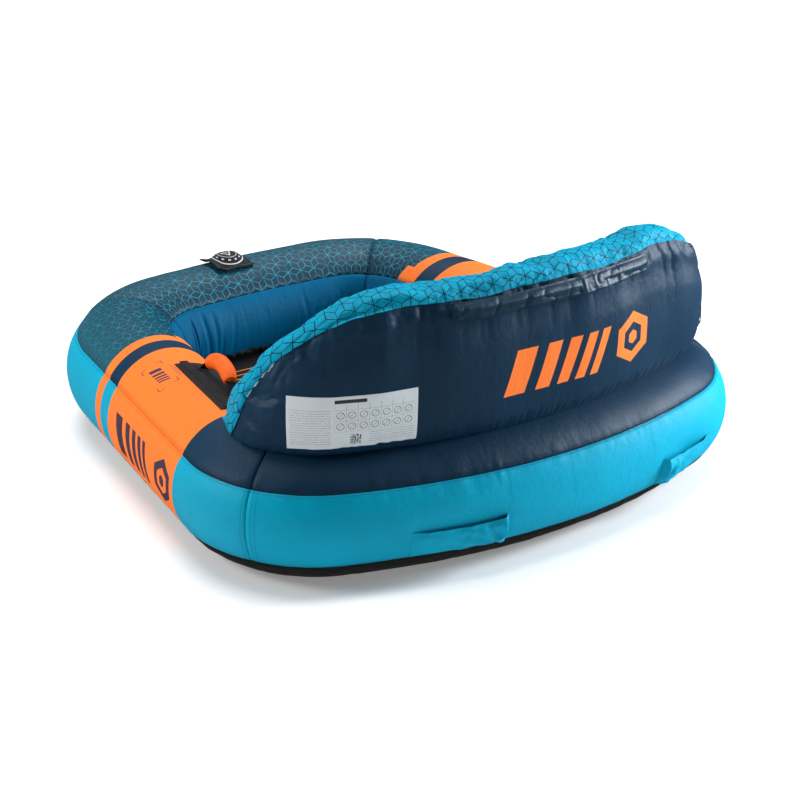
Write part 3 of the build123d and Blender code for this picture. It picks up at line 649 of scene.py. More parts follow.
def brushed_steel():
    finish = Finish("tow_steel", srgb(196, 198, 202), 0.28, "space")
    finish.set(Metallic=1.0)
    finish.vary(finish.noise(50, 4), 0.82, 1.06)
    finish.roughen(finish.noise(30, 5, stretch=(1, 1, 9)), 0.18, 0.42)
    finish.bump(finish.noise(500, 2, stretch=(1, 1, 12)), 0.00005)
    return finish.done()


def open_mesh():
    finish = Finish("black_mesh", srgb(16, 17, 19), 0.7, "space")
    turn = 2 * math.pi / 0.0045
    holes = ((finish.u * turn).sine() * (finish.w * turn).sine()).over(0.25)
    # painted shade: the holes are coloured near black for the dark inside seen through them
    finish.paint(holes, srgb(2, 2, 3))
    finish.bump(holes * -1.0, 0.0006)
    return finish.done()


def bladder_vinyl():
    finish = Finish("bladder_vinyl", srgb(196, 200, 204), 0.35)
    finish.vary(finish.noise(12, 4), 0.9, 1.06)
    finish.bump(finish.noise(45, 4), 0.0012)
    return finish.set(Specular_IOR_Level=0.5).done()


def tarpaulin():
    finish = covered("black_cover", srgb(30, 29, 31), 0.42, 2.2)
    finish.paint(finish.noise(55, 5).ramp(0.55, 0.75), srgb(62, 60, 60), 0.4)
    return finish.done()


# ---------------------------------------------------------------- ring
def seam_distance(angle, seam):
    return np.abs(angle - seam) * math.radians(1) * TUBE_RADIUS


def cross_distance(s, angle):
    """Distance along the cover to the nearest seam across the tube."""
    nearest = np.min([np.abs(s - cross) for cross in CROSSES], axis=0)
    at_front = np.abs(np.abs(s - HALF) - HALF + FRONT_CROSS) < 0.2
    radius = np.where(at_front, FRONT_CORNER_RADIUS, REAR_CORNER_RADIUS)
    return nearest * np.maximum(radius + TUBE_RADIUS * np.cos(np.radians(angle)), 0.02) / radius


def inner_folds(s, angle):
    """Creases of the inner wall where the cover turns a corner: deep and narrow, fading out upwards."""
    rise = np.zeros(np.broadcast(s, angle).shape)
    low = ease(angle, 146, 172)
    random = np.random.default_rng(5)
    turns = [(FRONT_CROSS - 0.02, 0.34, 0.034), (2 * HALF - FRONT_CROSS + 0.02, 0.34, 0.034),
             (REAR_CROSS, 0.16, 0.022), (2 * HALF - REAR_CROSS, 0.16, 0.022)]
    for centre, reach, spacing in turns:
        for place in np.arange(centre - reach, centre + reach, spacing):
            at = place + random.uniform(-0.3, 0.3) * spacing
            bend = random.uniform(-0.020, 0.020)
            depth = random.uniform(0.0015, 0.0065) * (1 - ((at - centre) / reach) ** 2)
            start = random.uniform(140, 168)
            line = at + bend * ease(angle, 140, 200)
            rise -= depth * bell(s - line, 0.0065) * ease(angle, start, start + 14)
            rise += 0.35 * depth * bell(s - line - 0.010, 0.009) * low
    return rise


def cover_rise(s, angle):
    """How far the cover stands outside the tube's round."""
    rise = np.zeros(np.broadcast(s, angle).shape)
    rear = ease(s, REAR_CROSS - 0.1, REAR_CROSS) * ease(2 * HALF - s, REAR_CROSS - 0.1, REAR_CROSS)
    corner = bell(cross_distance(s, 0 * s), 0.16)
    pulls = {OUTER_SEAM: 1.0, INNER_SEAM: 0.8, SKIRT_SEAM: 0.5, DECK_SEAM: 0.6}
    for row, (seam, pull) in enumerate(pulls.items()):
        away = seam_distance(angle, seam)
        rise -= 0.0026 * bell(away, 0.0055) + 0.0010 * bell(away, 0.022)
        gather = 0.45 + 0.75 * corner + 0.35 * rear
        ripple = noise(s / 0.0125, 3 + row, row) * bell(away - 0.010, 0.016)
        longer = noise(s / 0.031, 9 + row, row) * bell(away - 0.012, 0.030)
        rise += pull * gather * (0.00085 * ripple + 0.0011 * longer)
    across = cross_distance(s, angle)
    depth = np.where(angle > OUTER_SEAM, 1.0, 0.45)
    rise -= depth * (0.0030 * bell(across, 0.0055) + 0.0012 * bell(across, 0.025))
    rise += 0.0013 * noise(angle / 5.2, np.sign(s - HALF) * 3 + 5.5, 7) * bell(across - 0.012, 0.022)
    rise += 0.0012 * noise(s / 0.16, angle / 38, 2) + 0.0005 * noise(s / 0.05, angle / 16, 4)
    rise += np.where(angle > 139, inner_folds(s, angle), 0)
    for place, width in VENT_SPANS:
        rise -= 0.0095 * bell(s - place, width * 0.40) * bell(angle + 6, 11)
    return rise


def polar_place(angle):
    """Length along the ring of a place on the rear arc, from its angle about that arc's centre."""
    return HALF - REAR_RADIUS * math.radians(90 - angle)


VENTS = {"left": (74.4, 83.8), "right": (103.2, 111.0)}
VENT_SPANS = [(polar_place((a + b) / 2), REAR_RADIUS * math.radians(b - a)) for a, b in VENTS.values()]
ANGLES = {"top": (OUTER_SEAM, INNER_SEAM), "outer": (SKIRT_SEAM, OUTER_SEAM),
          "inner": (INNER_SEAM, DECK_SEAM)}
SIDES = {"front": (-FRONT_CROSS, FRONT_CROSS), "left": (FRONT_CROSS, REAR_CROSS),
         "rear": (REAR_CROSS, 2 * HALF - REAR_CROSS),
         "right": (2 * HALF - REAR_CROSS, 2 * HALF - FRONT_CROSS)}


def turned_in(places, depth):
    """Grid places with three more at each end, for an edge that turns in at a seam; and how deep each is."""
    first, last = places[0], places[-1]
    inset = [first] * 3 + list(places[1:-1]) + [last] * 3
    drop = [depth, depth * 0.45, 0.0] + [0.0] * (len(places) - 2) + [0.0, depth * 0.45, depth]
    return np.array(inset), np.array(drop)


def ring_panel(side, band, material):
    """One sewn panel of the ring's cover, its edges turned in at the seams."""
    first, last = SIDES[side]
    low, high = ANGLES[band]
    gap = 0.0005
    s = np.linspace(first + gap, last - gap, int((last - first) / 0.0042))
    turn = math.degrees(gap / TUBE_RADIUS)
    angle = np.linspace(low + turn, high - turn, int(math.radians(high - low) * TUBE_RADIUS / 0.0042))
    s, s_drop = turned_in(s, 0.006)
    angle, angle_drop = turned_in(angle, 0.006)
    grid_s, grid_angle = grid(s, angle)
    rise = cover_rise(np.mod(grid_s, 2 * HALF), grid_angle)
    rise -= np.maximum(s_drop[:, None], angle_drop[None])
    points = on_ring(grid_s, grid_angle, rise)
    around = np.radians(grid_angle) * TUBE_RADIUS
    cloth = np.stack([grid_s, around], -1)
    prints = np.stack([points[..., 1], around], -1)
    name = f"{side}_{band}_cover"
    mesh = make_mesh(name, points, grid_faces(*grid_s.shape), cloth, prints)
    piece = add_object(name, mesh, material)
    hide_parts(f"{side}_{band}_panel")
    return piece


def make_ring(finishes):
    for side in SIDES:
        for band in ANGLES:
            ring_panel(side, band, finishes[side, band])


def ring_stitch_line(angle, first=0.0, last=2 * HALF, lift=0.0006):
    s = np.linspace(first, last, int(abs(last - first) / 0.004))
    turn = np.full(s.shape, float(angle))
    points = on_ring(s, turn, cover_rise(np.mod(s, 2 * HALF), turn) + lift)
    return points, points - on_ring(s, turn, -0.05)


def cross_stitch_line(s, first, last, lift=0.0006):
    turn = np.linspace(first, last, int(abs(last - first) / 1.2))
    place = np.full(turn.shape, float(s))
    points = on_ring(place, turn, cover_rise(np.mod(place, 2 * HALF), turn) + lift)
    return points, points - on_ring(place, turn, -0.05)


def make_ring_stitching(thread, dark_thread):
    rows = [OUTER_SEAM + 2.0, OUTER_SEAM + 3.9, OUTER_SEAM - 2.0, INNER_SEAM - 2.0, INNER_SEAM + 2.0,
            SKIRT_SEAM + 2.0, SKIRT_SEAM + 3.9]
    lines = [ring_stitch_line(angle) for angle in rows]
    for cross in CROSSES:
        for aside in (-0.007, 0.007, 0.013):
            lines.append(cross_stitch_line(cross + aside, SKIRT_SEAM + 1, DECK_SEAM - 2))
    stitching("ring_stitching", lines, dark_thread)
    extra = [cross_stitch_line(polar_place(a), SKIRT_SEAM + 1, OUTER_SEAM - 1) for a in (84.2, 91.2, 101.6)]
    stitching("rear_panel_stitching", extra, thread)


def make_bottom(material):
    """The black skirt and base in one sheet."""
    s = np.linspace(0, 2 * HALF, 1020)[:-1]
    skirt = np.linspace(SKIRT_SEAM - 0.15, FOOT_ANGLE, 24)
    grid_s, grid_angle = grid(s, skirt)
    rise = cover_rise(grid_s, grid_angle) + 0.0010 * noise(grid_s / 0.02, grid_angle / 9, 6)
    rise *= ease(grid_angle, FOOT_ANGLE, FOOT_ANGLE + 9)
    turned = on_ring(s, np.full(s.shape, SKIRT_SEAM - 0.15), -0.007)[:, None]
    wall = on_ring(grid_s, grid_angle, rise)
    share = np.linspace(0, 1, 34)[1:]
    foot = wall[:, -1:]
    base = foot * (1 - share[None, :, None])
    base[..., 2] = 0.0006 + 0.0006 * noise(base[..., 0] / 0.03, base[..., 1] / 0.03)
    points = np.concatenate([turned, wall, base], 1)
    cloth = points[..., :2].copy()
    cloth[:, :25, 0] = s[:, None]
    cloth[:, 1:25, 1] = np.radians(grid_angle) * TUBE_RADIUS
    faces = grid_faces(*points.shape[:2], wrap_rows=True, flip=True)
    stand_in("bottom_skin", points, faces, cloth, material, "bottom_cover")


def make_deck(material, trim, tag):
    """The floor's deck, softly pillowed, with a gathered trim where it meets the inner wall."""
    s = np.linspace(0, 2 * HALF, 720)[:-1]
    share = np.linspace(0, 1, 64)
    edge = upright(s, np.full(s.shape, DECK_OFFSET), DECK_HEIGHT)[:, None]
    points = edge * (1 - share[None, :, None])
    x, y = points[..., 0], points[..., 1]
    inward = np.linalg.norm(edge[..., :2], axis=-1) * share[None]
    pillow = 0.006 * ease(inward, 0.0, 0.07)
    dip = 0.004 * bell(x, 0.012) + 0.0030 * bell(np.abs(x) - 0.34, 0.010) + 0.0035 * bell(y + 0.26, 0.012)
    points[..., 2] = DECK_HEIGHT + pillow - dip * ease(inward, 0.02, 0.08)
    points[..., 2] += 0.0007 * noise(x / 0.05, y / 0.05)
    faces = grid_faces(*points.shape[:2], wrap_rows=True, flip=True)
    stand_in("deck_sheet", points, faces, points[..., :2], material, "floor_deck")
    s = np.linspace(0, 2 * HALF, 1500)[:-1]
    up = np.linspace(0, 1, 9)
    ruffle = noise(s / 0.016, 1.5, 1)[:, None] * 0.0052 + noise(s / 0.006, 8.5, 1)[:, None] * 0.0016
    offset = DECK_OFFSET - 0.003 + (ruffle - 0.006) * np.sin(up * 2.4)[None] - 0.004 * up[None]
    height = DECK_HEIGHT + 0.001 + up[None] * (0.021 + 0.005 * noise(s / 0.022, 4.5, 3)[:, None])
    grid_s = np.repeat(s[:, None], len(up), 1)
    strip = upright(grid_s, offset, height)
    faces = grid_faces(*grid_s.shape, wrap_rows=True)
    mesh = make_mesh("deck_trim", strip, faces, np.stack([grid_s, height], -1))
    ruffles = add_object("deck_trim", mesh, trim)
    around = np.linspace(0.30, 0.345, 12)
    lift = np.linspace(0, 1, 5)
    grid_s, grid_up = grid(around, lift)
    tag_height = DECK_HEIGHT + 0.010 + 0.006 * np.sin(grid_up * 2)
    tag_points = upright(grid_s, DECK_OFFSET - 0.012 - 0.016 * grid_up, tag_height)
    slab("care_tag", tag_points, np.stack([grid_s, grid_up * 0.018], -1), 0.0007, tag)


def make_bladders(material):
    """The inflated bladders inside the covers, seen only through the vents and the valve openings."""
    s = np.linspace(0, 2 * HALF, 420)[:-1]
    angle = np.linspace(FOOT_ANGLE, 180 - FOOT_ANGLE, 60)
    grid_s, grid_angle = grid(s, angle)
    weld = -0.0012 * bell(np.abs(grid_angle - 60), 2)
    points = on_ring(grid_s, grid_angle, -0.0105 + weld)
    cloth = np.stack([grid_s, np.radians(grid_angle) * TUBE_RADIUS], -1)
    faces = grid_faces(*grid_s.shape, wrap_rows=True, wrap_columns=True)
    stand_in("ring_air_tube", points, faces, cloth, material, "ring_bladder")
    s = np.linspace(0, 2 * HALF, 300)[:-1]
    share = np.concatenate([np.linspace(1, 0.0, 20), np.linspace(0.0, 1, 20)])
    under = np.concatenate([np.zeros(20), np.ones(20)])
    edge = upright(s, np.full(s.shape, DECK_OFFSET - 0.006), 0.0)[:, None]
    points = edge * (1 - share[None, :, None])
    round_edge = 0.04 * np.sqrt(np.clip(1 - (1 - np.clip(share / 0.08, 0, 1)) ** 2, 0, 1))
    points[..., 2] = 0.046 + np.where(under > 0, 1, -1)[None] * round_edge[None]
    faces = grid_faces(*points.shape[:2], wrap_rows=True)
    stand_in("floor_air_cushion", points, faces, points[..., :2], material, "floor_bladder")


# ---------------------------------------------------------------- backrest
BACK_ROWS, BAND_ROWS, FRONT_ROWS = 58, 26, 40
SEAM_HALF = 0.050


def backrest_heights(along):
    """Ridge and seam heights at distances from the left tip; both ends are alike."""
    near = np.minimum(along, BACK_LENGTH - along)
    return curve_through(RIDGE, near), curve_through(SEAM, near)


def backrest_grid():
    """The backrest's skin as a grid: along it, and from its back foot over the ridge to its front foot."""
    along = np.linspace(0.004, BACK_LENGTH - 0.004, 262)
    ridge, seam = backrest_heights(along)
    near = np.minimum(along, BACK_LENGTH - along)
    half = 0.020 + (SEAM_HALF - 0.020) * ease(near, 0.0, 0.16)
    foot = TUBE_HEIGHT + np.sqrt((TUBE_RADIUS - 0.003) ** 2 - half ** 2)
    seam = np.maximum(seam, foot + 0.002)
    ridge = np.maximum(ridge, seam + 0.004)
    up = np.linspace(0, 1, BACK_ROWS)[None]
    tall = (seam - foot)[:, None]
    full = ease(tall, 0.03, 0.22)
    valve = bell(along[:, None] - (2 * HALF - REAR_CROSS - TIP + 0.09), 0.07)
    belly = 0.019 * np.sin(np.pi * np.minimum(up / 0.90, 1) ** 0.75) ** 0.8
    bulge = (belly + 0.011 * ease(up, 0.04, 0.9)) * full
    bulge = bulge * (1 - ease(up, 0.965, 1.0)) * (1 - 0.25 * valve)
    bulge = bulge + (np.minimum(bulge, 0.0115) - bulge) * ease(up, 0.66, 0.90)
    height = foot[:, None] + tall * up
    back = half[:, None] + bulge
    turn = np.linspace(0, np.pi, BAND_ROWS + 2)[None, 1:-1]
    over = half[:, None] * np.sign(np.cos(turn)) * np.abs(np.cos(turn)) ** 0.75
    cap = seam[:, None] + (ridge - seam)[:, None] * np.sin(turn) ** 0.8
    front_up = np.linspace(1, 0, FRONT_ROWS)[None]
    front_bulge = 0.012 * np.sin(np.pi * front_up ** 0.8) * full
    offsets = np.concatenate([back, over, -half[:, None] - front_bulge], 1)
    heights = np.concatenate([height, cap, foot[:, None] + tall * front_up], 1)
    return along, offsets, heights


def backrest_folds(along, rows, heights, offsets):
    """Soft upright folds of the back and crumples of the band, as a change of offset and of height."""
    seam = backrest_heights(along[:, 0])[1]
    below = np.maximum(seam[:, None] - heights, 0)
    near = np.minimum(along, BACK_LENGTH - along)
    back = rows < BACK_ROWS
    front = rows >= BACK_ROWS + BAND_ROWS
    gather = ease(near, 0.10, 0.2) * (1 - 0.45 * ease(near, 0.45, 0.75))
    lean = along + 0.35 * below * (0.5 - along / BACK_LENGTH)
    broad = noise(lean / 0.088, below / 0.45, 11) * (0.45 + 0.55 * bell(below, 0.18))
    narrow = noise(lean / 0.026, below / 0.11, 12) * bell(below - 0.012, 0.060)
    crisp = (1 - np.abs(noise(lean / 0.034, below / 0.16, 15))) ** 5 * bell(below - 0.02, 0.075)
    low = noise(along / 0.05, below / 0.05, 13) * ease(below, 0.16, 0.3) * (1 - ease(near, 0.3, 0.5))
    wall = 0.0125 * broad + gather * (0.0040 * narrow - 0.0062 * crisp) + 0.0022 * low
    wall *= ease(heights, 0.315, 0.36)
    crumple = noise(along / 0.042, rows / 10.0, 21) * 0.0026 + noise(along / 0.014, rows / 7.0, 22) * 0.0006
    crumple -= 0.0036 * (1 - np.abs(noise(along / 0.045, rows / 16, 24))) ** 7
    wave = noise(along / 0.085, 4.5, 23) * 0.0062 * ease(near, 0.05, 0.25)
    side = np.where(offsets > 0, 1, -1)
    shift = np.where(back | front, side * wall, side * crumple * 0.6)
    lift = np.where(back | front, 0.0, crumple) + wave * ease(heights, 0.40, 0.60)
    return shift, lift


def blow_up(points, cap, frames=16):
    """Let cloth, under air pressure and a little too large for its outline, settle round the form."""
    rows, columns = points.shape[:2]
    mesh = make_mesh("cloth_trial", points, grid_faces(rows, columns))
    trial = bpy.data.objects.new("cloth_trial", mesh)
    bpy.context.scene.collection.objects.link(trial)
    held = trial.vertex_groups.new(name="held")
    index = np.arange(rows * columns).reshape(rows, columns)
    edges = [index[:, :2], index[:, -2:], index[:2], index[-2:]]
    seams = [index[:, BACK_ROWS - 1], index[:, BACK_ROWS + BAND_ROWS]]
    fixed = np.unique(np.concatenate([part.ravel() for part in edges + seams]))
    held.add([int(k) for k in fixed], 1.0, "REPLACE")
    cloth = trial.modifiers.new("cloth", "CLOTH")
    settings = cloth.settings
    settings.quality, settings.mass = 6, 0.12
    settings.tension_stiffness = settings.compression_stiffness = 22
    settings.shear_stiffness, settings.bending_stiffness = 6, 0.12
    settings.use_pressure, settings.uniform_pressure_force = True, 2.2
    settings.shrink_min = settings.shrink_max = -0.03
    settings.vertex_group_mass = "held"
    settings.effector_weights.gravity = 0
    cloth.collision_settings.use_collision = False
    scene = bpy.context.scene
    scene.frame_start, scene.frame_end = 1, frames
    for number in range(1, frames + 1):
        scene.frame_set(number)
    settled = trial.evaluated_get(bpy.context.evaluated_depsgraph_get())
    after = np.zeros(rows * columns * 3)
    settled.data.vertices.foreach_get("co", after)
    bpy.data.objects.remove(trial)
    scene.frame_set(1)
    move = after.reshape(points.shape) - points
    far = np.linalg.norm(move, axis=-1, keepdims=True)
    return points + move * np.minimum(1, cap / np.maximum(far, 1e-9))


def make_backrest(back_finish, band_finish, front_finish):
    """The backrest's three sewn panels, shaped together so that their seams meet."""
    along, offsets, heights = backrest_grid()
    rows = np.repeat(np.arange(offsets.shape[1])[None], len(along), 0)
    grid_along = np.repeat(along[:, None], offsets.shape[1], 1)
    form = upright(TIP + grid_along, offsets, heights)
    shift, lift = backrest_folds(grid_along, rows, heights, offsets)
    folded = upright(TIP + grid_along, offsets + shift, heights + lift)
    points = folded + blow_up(form, 0.006) - form
    for seam_row in (BACK_ROWS - 1, BACK_ROWS + BAND_ROWS):
        out = np.cross(np.gradient(points, axis=0), np.gradient(points, axis=1))
        out /= np.linalg.norm(out, axis=-1, keepdims=True)
        depth = 0.0028 * bell(rows - seam_row, 0.8) + 0.001 * bell(rows - seam_row, 3)
        points = points + out * depth[..., None]
    spans = {"back": (0, BACK_ROWS), "ridge": (BACK_ROWS - 1, BACK_ROWS + BAND_ROWS + 1),
             "front": (BACK_ROWS + BAND_ROWS, BACK_ROWS + BAND_ROWS + FRONT_ROWS)}
    for part, (first, last) in spans.items():
        piece = points[:, first:last]
        if part == "back":
            cloth = np.stack([TIP + grid_along[:, first:last], piece[..., 2]], -1)
        else:
            steps = np.linalg.norm(np.diff(piece, axis=1), axis=-1)
            across = np.concatenate([np.zeros((len(along), 1)), np.cumsum(steps, 1)], 1)
            cloth = np.stack([grid_along[:, first:last], across - across[:, -1:] / 2], -1)
        finish = {"back": back_finish, "ridge": band_finish, "front": front_finish}[part]
        name = f"backrest_{part}_cover"
        mesh = make_mesh(name, piece, grid_faces(*piece.shape[:2], flip=True), cloth)
        cover = add_object(name, mesh, finish)
        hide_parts(f"backrest_{part}_panel")
        subdivide = cover.modifiers.new("smooth", "SUBSURF")
        subdivide.levels = subdivide.render_levels = 1
    return along, points


def on_backrest(shape, s, height, lift=0.0):
    """Points on the backrest's back, at lengths along the ring and heights, lift outside it."""
    along, points = shape
    back = points[:, :BACK_ROWS]
    place = np.clip((np.asarray(s) - TIP - along[0]) / (along[1] - along[0]), 0, len(along) - 1.001)
    first = place.astype(int)
    share = (place - first)[..., None]
    found = np.zeros(place.shape + (3,))
    for index in np.ndindex(place.shape):
        column = back[first[index]] * (1 - share[index]) + back[first[index] + 1] * share[index]
        levels = np.maximum.accumulate(column[:, 2])
        found[index] = [np.interp(height[index], levels, column[:, k]) for k in range(3)]
    out = ring_line(s)[1]
    found[..., :2] += out * np.asarray(lift)[..., None] if np.ndim(lift) else out * lift
    return found


def make_backrest_air(shape, material):
    """The backrest's air bladder: the covers' own section drawn in towards its middle."""
    points = shape[1]
    ends = slice(14, -14)
    middle = points[ends].mean(1, keepdims=True)
    inside = middle + (points[ends] - middle) * 0.80
    tips = [middle[k] + (inside[k] - middle[k]) * 0.05 for k in (0, -1)]
    inside = np.concatenate([tips[0][None], inside, tips[1][None]])
    rows, columns = inside.shape[:2]
    place, around = grid(np.linspace(0, BACK_LENGTH, rows), np.linspace(0, 1, columns))
    faces = grid_faces(rows, columns, wrap_columns=True, flip=True)
    cloth = np.stack([place, around], -1)
    stand_in("backrest_air_tube", inside, faces, cloth, material, "backrest_bladder")


def make_zip_flap(shape, material):
    """The crumpled flap that hangs over the zip from the seam above it."""
    first, last = polar_place(90 - 9.3 - 1.2), polar_place(90 + 12.6 + 1.2)
    s = np.linspace(first, last, 210)
    down = np.linspace(0, 1, 22)
    grid_s, grid_down = grid(s, down)
    top = 0.6530 + 0.0012 * noise(s / 0.05, 3.5, 30)
    hem = 0.040 + 0.0030 * noise(s / 0.09, 6.5, 31) + 0.0016 * noise(s / 0.030, 2.5, 32)
    height = top[:, None] - grid_down * hem[:, None]
    broad = noise((grid_s - 0.015 * grid_down) / 0.048, grid_down * 1.1, 33)
    fine = noise((grid_s + 0.012 * grid_down) / 0.017, grid_down * 2.2, 34)
    crease = (1 - np.abs(noise((grid_s + 0.022 * grid_down) / 0.040, grid_down * 1.4, 35))) ** 7
    free = ease(grid_down, 0.0, 0.22)
    stand = 0.0025 + free * (0.0060 + 0.0016 * broad + 0.0008 * fine - 0.0022 * crease)
    stand += 0.0012 * bell(grid_down - 0.88, 0.07)
    stand *= 0.3 + 0.7 * ease(grid_s, first, first + 0.012) * ease(-grid_s, -last, -last + 0.012)
    wall = on_backrest(shape, grid_s, np.minimum(height, 0.650), 0.0)
    point, out = ring_line(grid_s)
    base = ((wall[..., :2] - point) * out).sum(-1)
    near = np.exp(-0.5 * (np.arange(-24, 25) / 8.0) ** 2)
    smooth = np.array([np.convolve(np.pad(row, 24, "edge"), near / near.sum(), "valid") for row in base.T]).T
    base = np.maximum(base, smooth)
    hang = np.maximum.accumulate(base, axis=1) * 0.4 + base * 0.6
    hang = np.maximum(hang, 0.0615 + 0.0085 * ease(grid_down, 0.1, 0.45))
    points = upright(grid_s, hang + stand, height)
    flap = slab("zip_flap_cloth", points, np.stack([grid_s, height], -1), 0.0011, material)
    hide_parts("zip_flap")
    return points


def make_label(shape, material):
    """The cloth label, lying on the back of the backrest and following its folds."""
    width, height, low = 0.303, 0.135, 0.331
    corner_width, first, turn, last = 0.119, 1.5443, float(ENDS[3]), 1.8139
    u, v = np.linspace(0, width, 92), np.linspace(0, height, 42)
    grid_u, grid_v = grid(u, v)
    arc = np.interp(grid_u, [0, corner_width, width], [first, turn, last])
    sag = 0.0012 * noise(grid_u / 0.02, 5.5, 41) * ease(-grid_v, -0.03, 0.0)
    points = on_backrest(shape, arc, low + grid_v + sag, 0.0012)
    label = slab("care_label", points, np.stack([grid_u, grid_v], -1), 0.0009, material)
    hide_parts("label_patch")


# ---------------------------------------------------------------- smaller soft pieces
def make_vent(side, material, thread):
    """A baggy flap over a water vent: gathered at one end, pointed at the other, open along its top."""
    first, last = (polar_place(a) for a in VENTS[side])
    if side == "left":
        first, last = last, first
    along, up = np.linspace(0, 1, 84), np.linspace(0, 1, 26)
    grid_a, grid_u = grid(along, up)
    s = first + (last - first) * grid_a
    s += (last - first) * 0.030 * (1 - grid_u) * (1 - grid_a) * -1
    sag = 3.2 * np.sin(np.pi * grid_a ** 0.8) * grid_u
    angle = -33.5 + (29.5 - sag - 1.5 * grid_a) * grid_u
    fan = np.arctan2(grid_u + 0.02, grid_a + 0.06)
    folds = np.cos(fan * 17 + 2 * noise(grid_a * 3, grid_u * 2, 51)) * bell(grid_a - 0.08, 0.40)
    folds += 0.8 * noise(grid_a * 8, grid_u * 4 + grid_a * 6, 52)
    folds += 0.5 * noise(grid_a * 21 + grid_u * 5, grid_u * 7, 53) * bell(grid_a - 0.1, 0.35)
    hold = ease(grid_a, 0, 0.05) * ease(1 - grid_a, 0, 0.16) * ease(grid_u, 0, 0.22)
    hold *= 1 - 0.85 * ease(grid_a, 0.55, 0.95) * (1 - grid_u)
    belly = np.sin(np.pi * np.minimum(grid_u * 0.92 + 0.04, 1)) ** 0.7 * (1 - 0.65 * grid_a)
    rise = 0.0012 + hold * (0.0040 + 0.0100 * belly + (0.0010 + 0.0040 * belly) * folds)
    rise += cover_rise(np.mod(s, 2 * HALF), angle)
    rise += 0.0085 * bell(angle + 6, 11) * hold * (1 - 0.55 * ease(grid_u, 0.75, 1.0))
    points = on_ring(s, angle, rise)
    cloth = np.stack([s, np.radians(angle) * TUBE_RADIUS], -1)
    if side == "left":
        points, cloth = points[::-1], cloth[::-1]
    flap = slab(f"{side}_vent_cloth", points, cloth, 0.0012, material)
    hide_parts(f"{side}_vent_flap")
    edge = points[:, -2]
    normal = edge - on_ring(s[:, 0], angle[:, -2], -0.05)
    hem = points[:, -4]
    stitching(f"{side}_vent_stitching", [(edge, normal), (hem, normal)], thread)


def guard_shape(side, s_middle):
    """The guard's outline on the ring, as places along it and angles round it."""
    along, across = np.linspace(-1, 1, 86), np.linspace(0, 1, 40)
    grid_a, grid_c = grid(along, across)
    half = 0.158 + 0.008 * np.abs(grid_c - 0.5)
    angle = 86.5 + 41 * grid_c
    return grid_a, grid_c, s_middle + half * grid_a * side, angle


def make_guard(side_name, guard_finish, strip_finish, thread, dark_thread):
    """The padded guard under a side handle, with a webbing strip along its outer edge."""
    side = 1 if side_name == "left" else -1
    middle = ENDS[1] + 0.088 / math.cos(math.radians(10.2)) + 0.4216
    middle = middle if side == 1 else 2 * HALF - middle
    grid_a, grid_c, s, angle = guard_shape(side, middle)
    rim = ease(1 - np.abs(grid_a), 0, 0.05) * ease(grid_c, 0, 0.10) * ease(1 - grid_c, 0, 0.10)
    rise = 0.0008 + 0.0033 * rim + 0.0004 * noise(grid_a * 9, grid_c * 4, 61)
    rise -= 0.0010 * bell(grid_c - 0.075, 0.02) + 0.0010 * bell(1 - grid_c - 0.075, 0.02)
    rise -= 0.0012 * sum(bell(grid_c - k, 0.025) for k in (0.36, 0.62)) * ease(1 - np.abs(grid_a), 0.05, 0.2)
    points = on_ring(s, angle, rise)
    cloth = np.stack([s, np.radians(angle) * TUBE_RADIUS], -1)
    guard = slab(f"{side_name}_guard_pad", points if side == -1 else points[::-1],
                 cloth if side == -1 else cloth[::-1], 0.0016, guard_finish)
    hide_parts(f"{side_name}_knuckle_guard")
    lines = []
    for row in (2, 5, 35, 37):
        lines.append((points[3:-3, row], points[3:-3, row] - on_ring(s[3:-3, row], angle[3:-3, row], -0.05)))
    for row in (2, -3):
        lines.append((points[row, 2:-2], points[row, 2:-2] - on_ring(s[row, 2:-2], angle[row, 2:-2], -0.05)))
    stitching(f"{side_name}_guard_stitching", lines, dark_thread)
    along = np.linspace(-1, 1, 120)
    across = np.linspace(0, 1, 8)
    strip_a, strip_c = grid(along, across)
    strip_s = middle + 0.162 * strip_a * side
    strip_angle = 91.0 + 7.4 * strip_c
    bars = 0.0007 * sum(bell(strip_a - k, 0.02) for k in (-0.8, -0.4, 0, 0.4, 0.8))
    strip = on_ring(strip_s, strip_angle, 0.0056 + 0.0004 * np.sin(strip_c * np.pi) - bars)
    cloth = np.stack([strip_s, np.radians(strip_angle) * TUBE_RADIUS], -1)
    name = f"{side_name}_guard_webbing"
    if side == 1:
        slab(name, strip[::-1], cloth[::-1], 0.0016, strip_finish)
    else:
        slab(name, strip, cloth, 0.0016, strip_finish)
    rows = []
    for row in (1, 6):
        rows.append((strip[:, row], strip[:, row] - on_ring(strip_s[:, row], strip_angle[:, row], -0.05)))
    stitching(f"{side_name}_webbing_stitching", rows, thread)


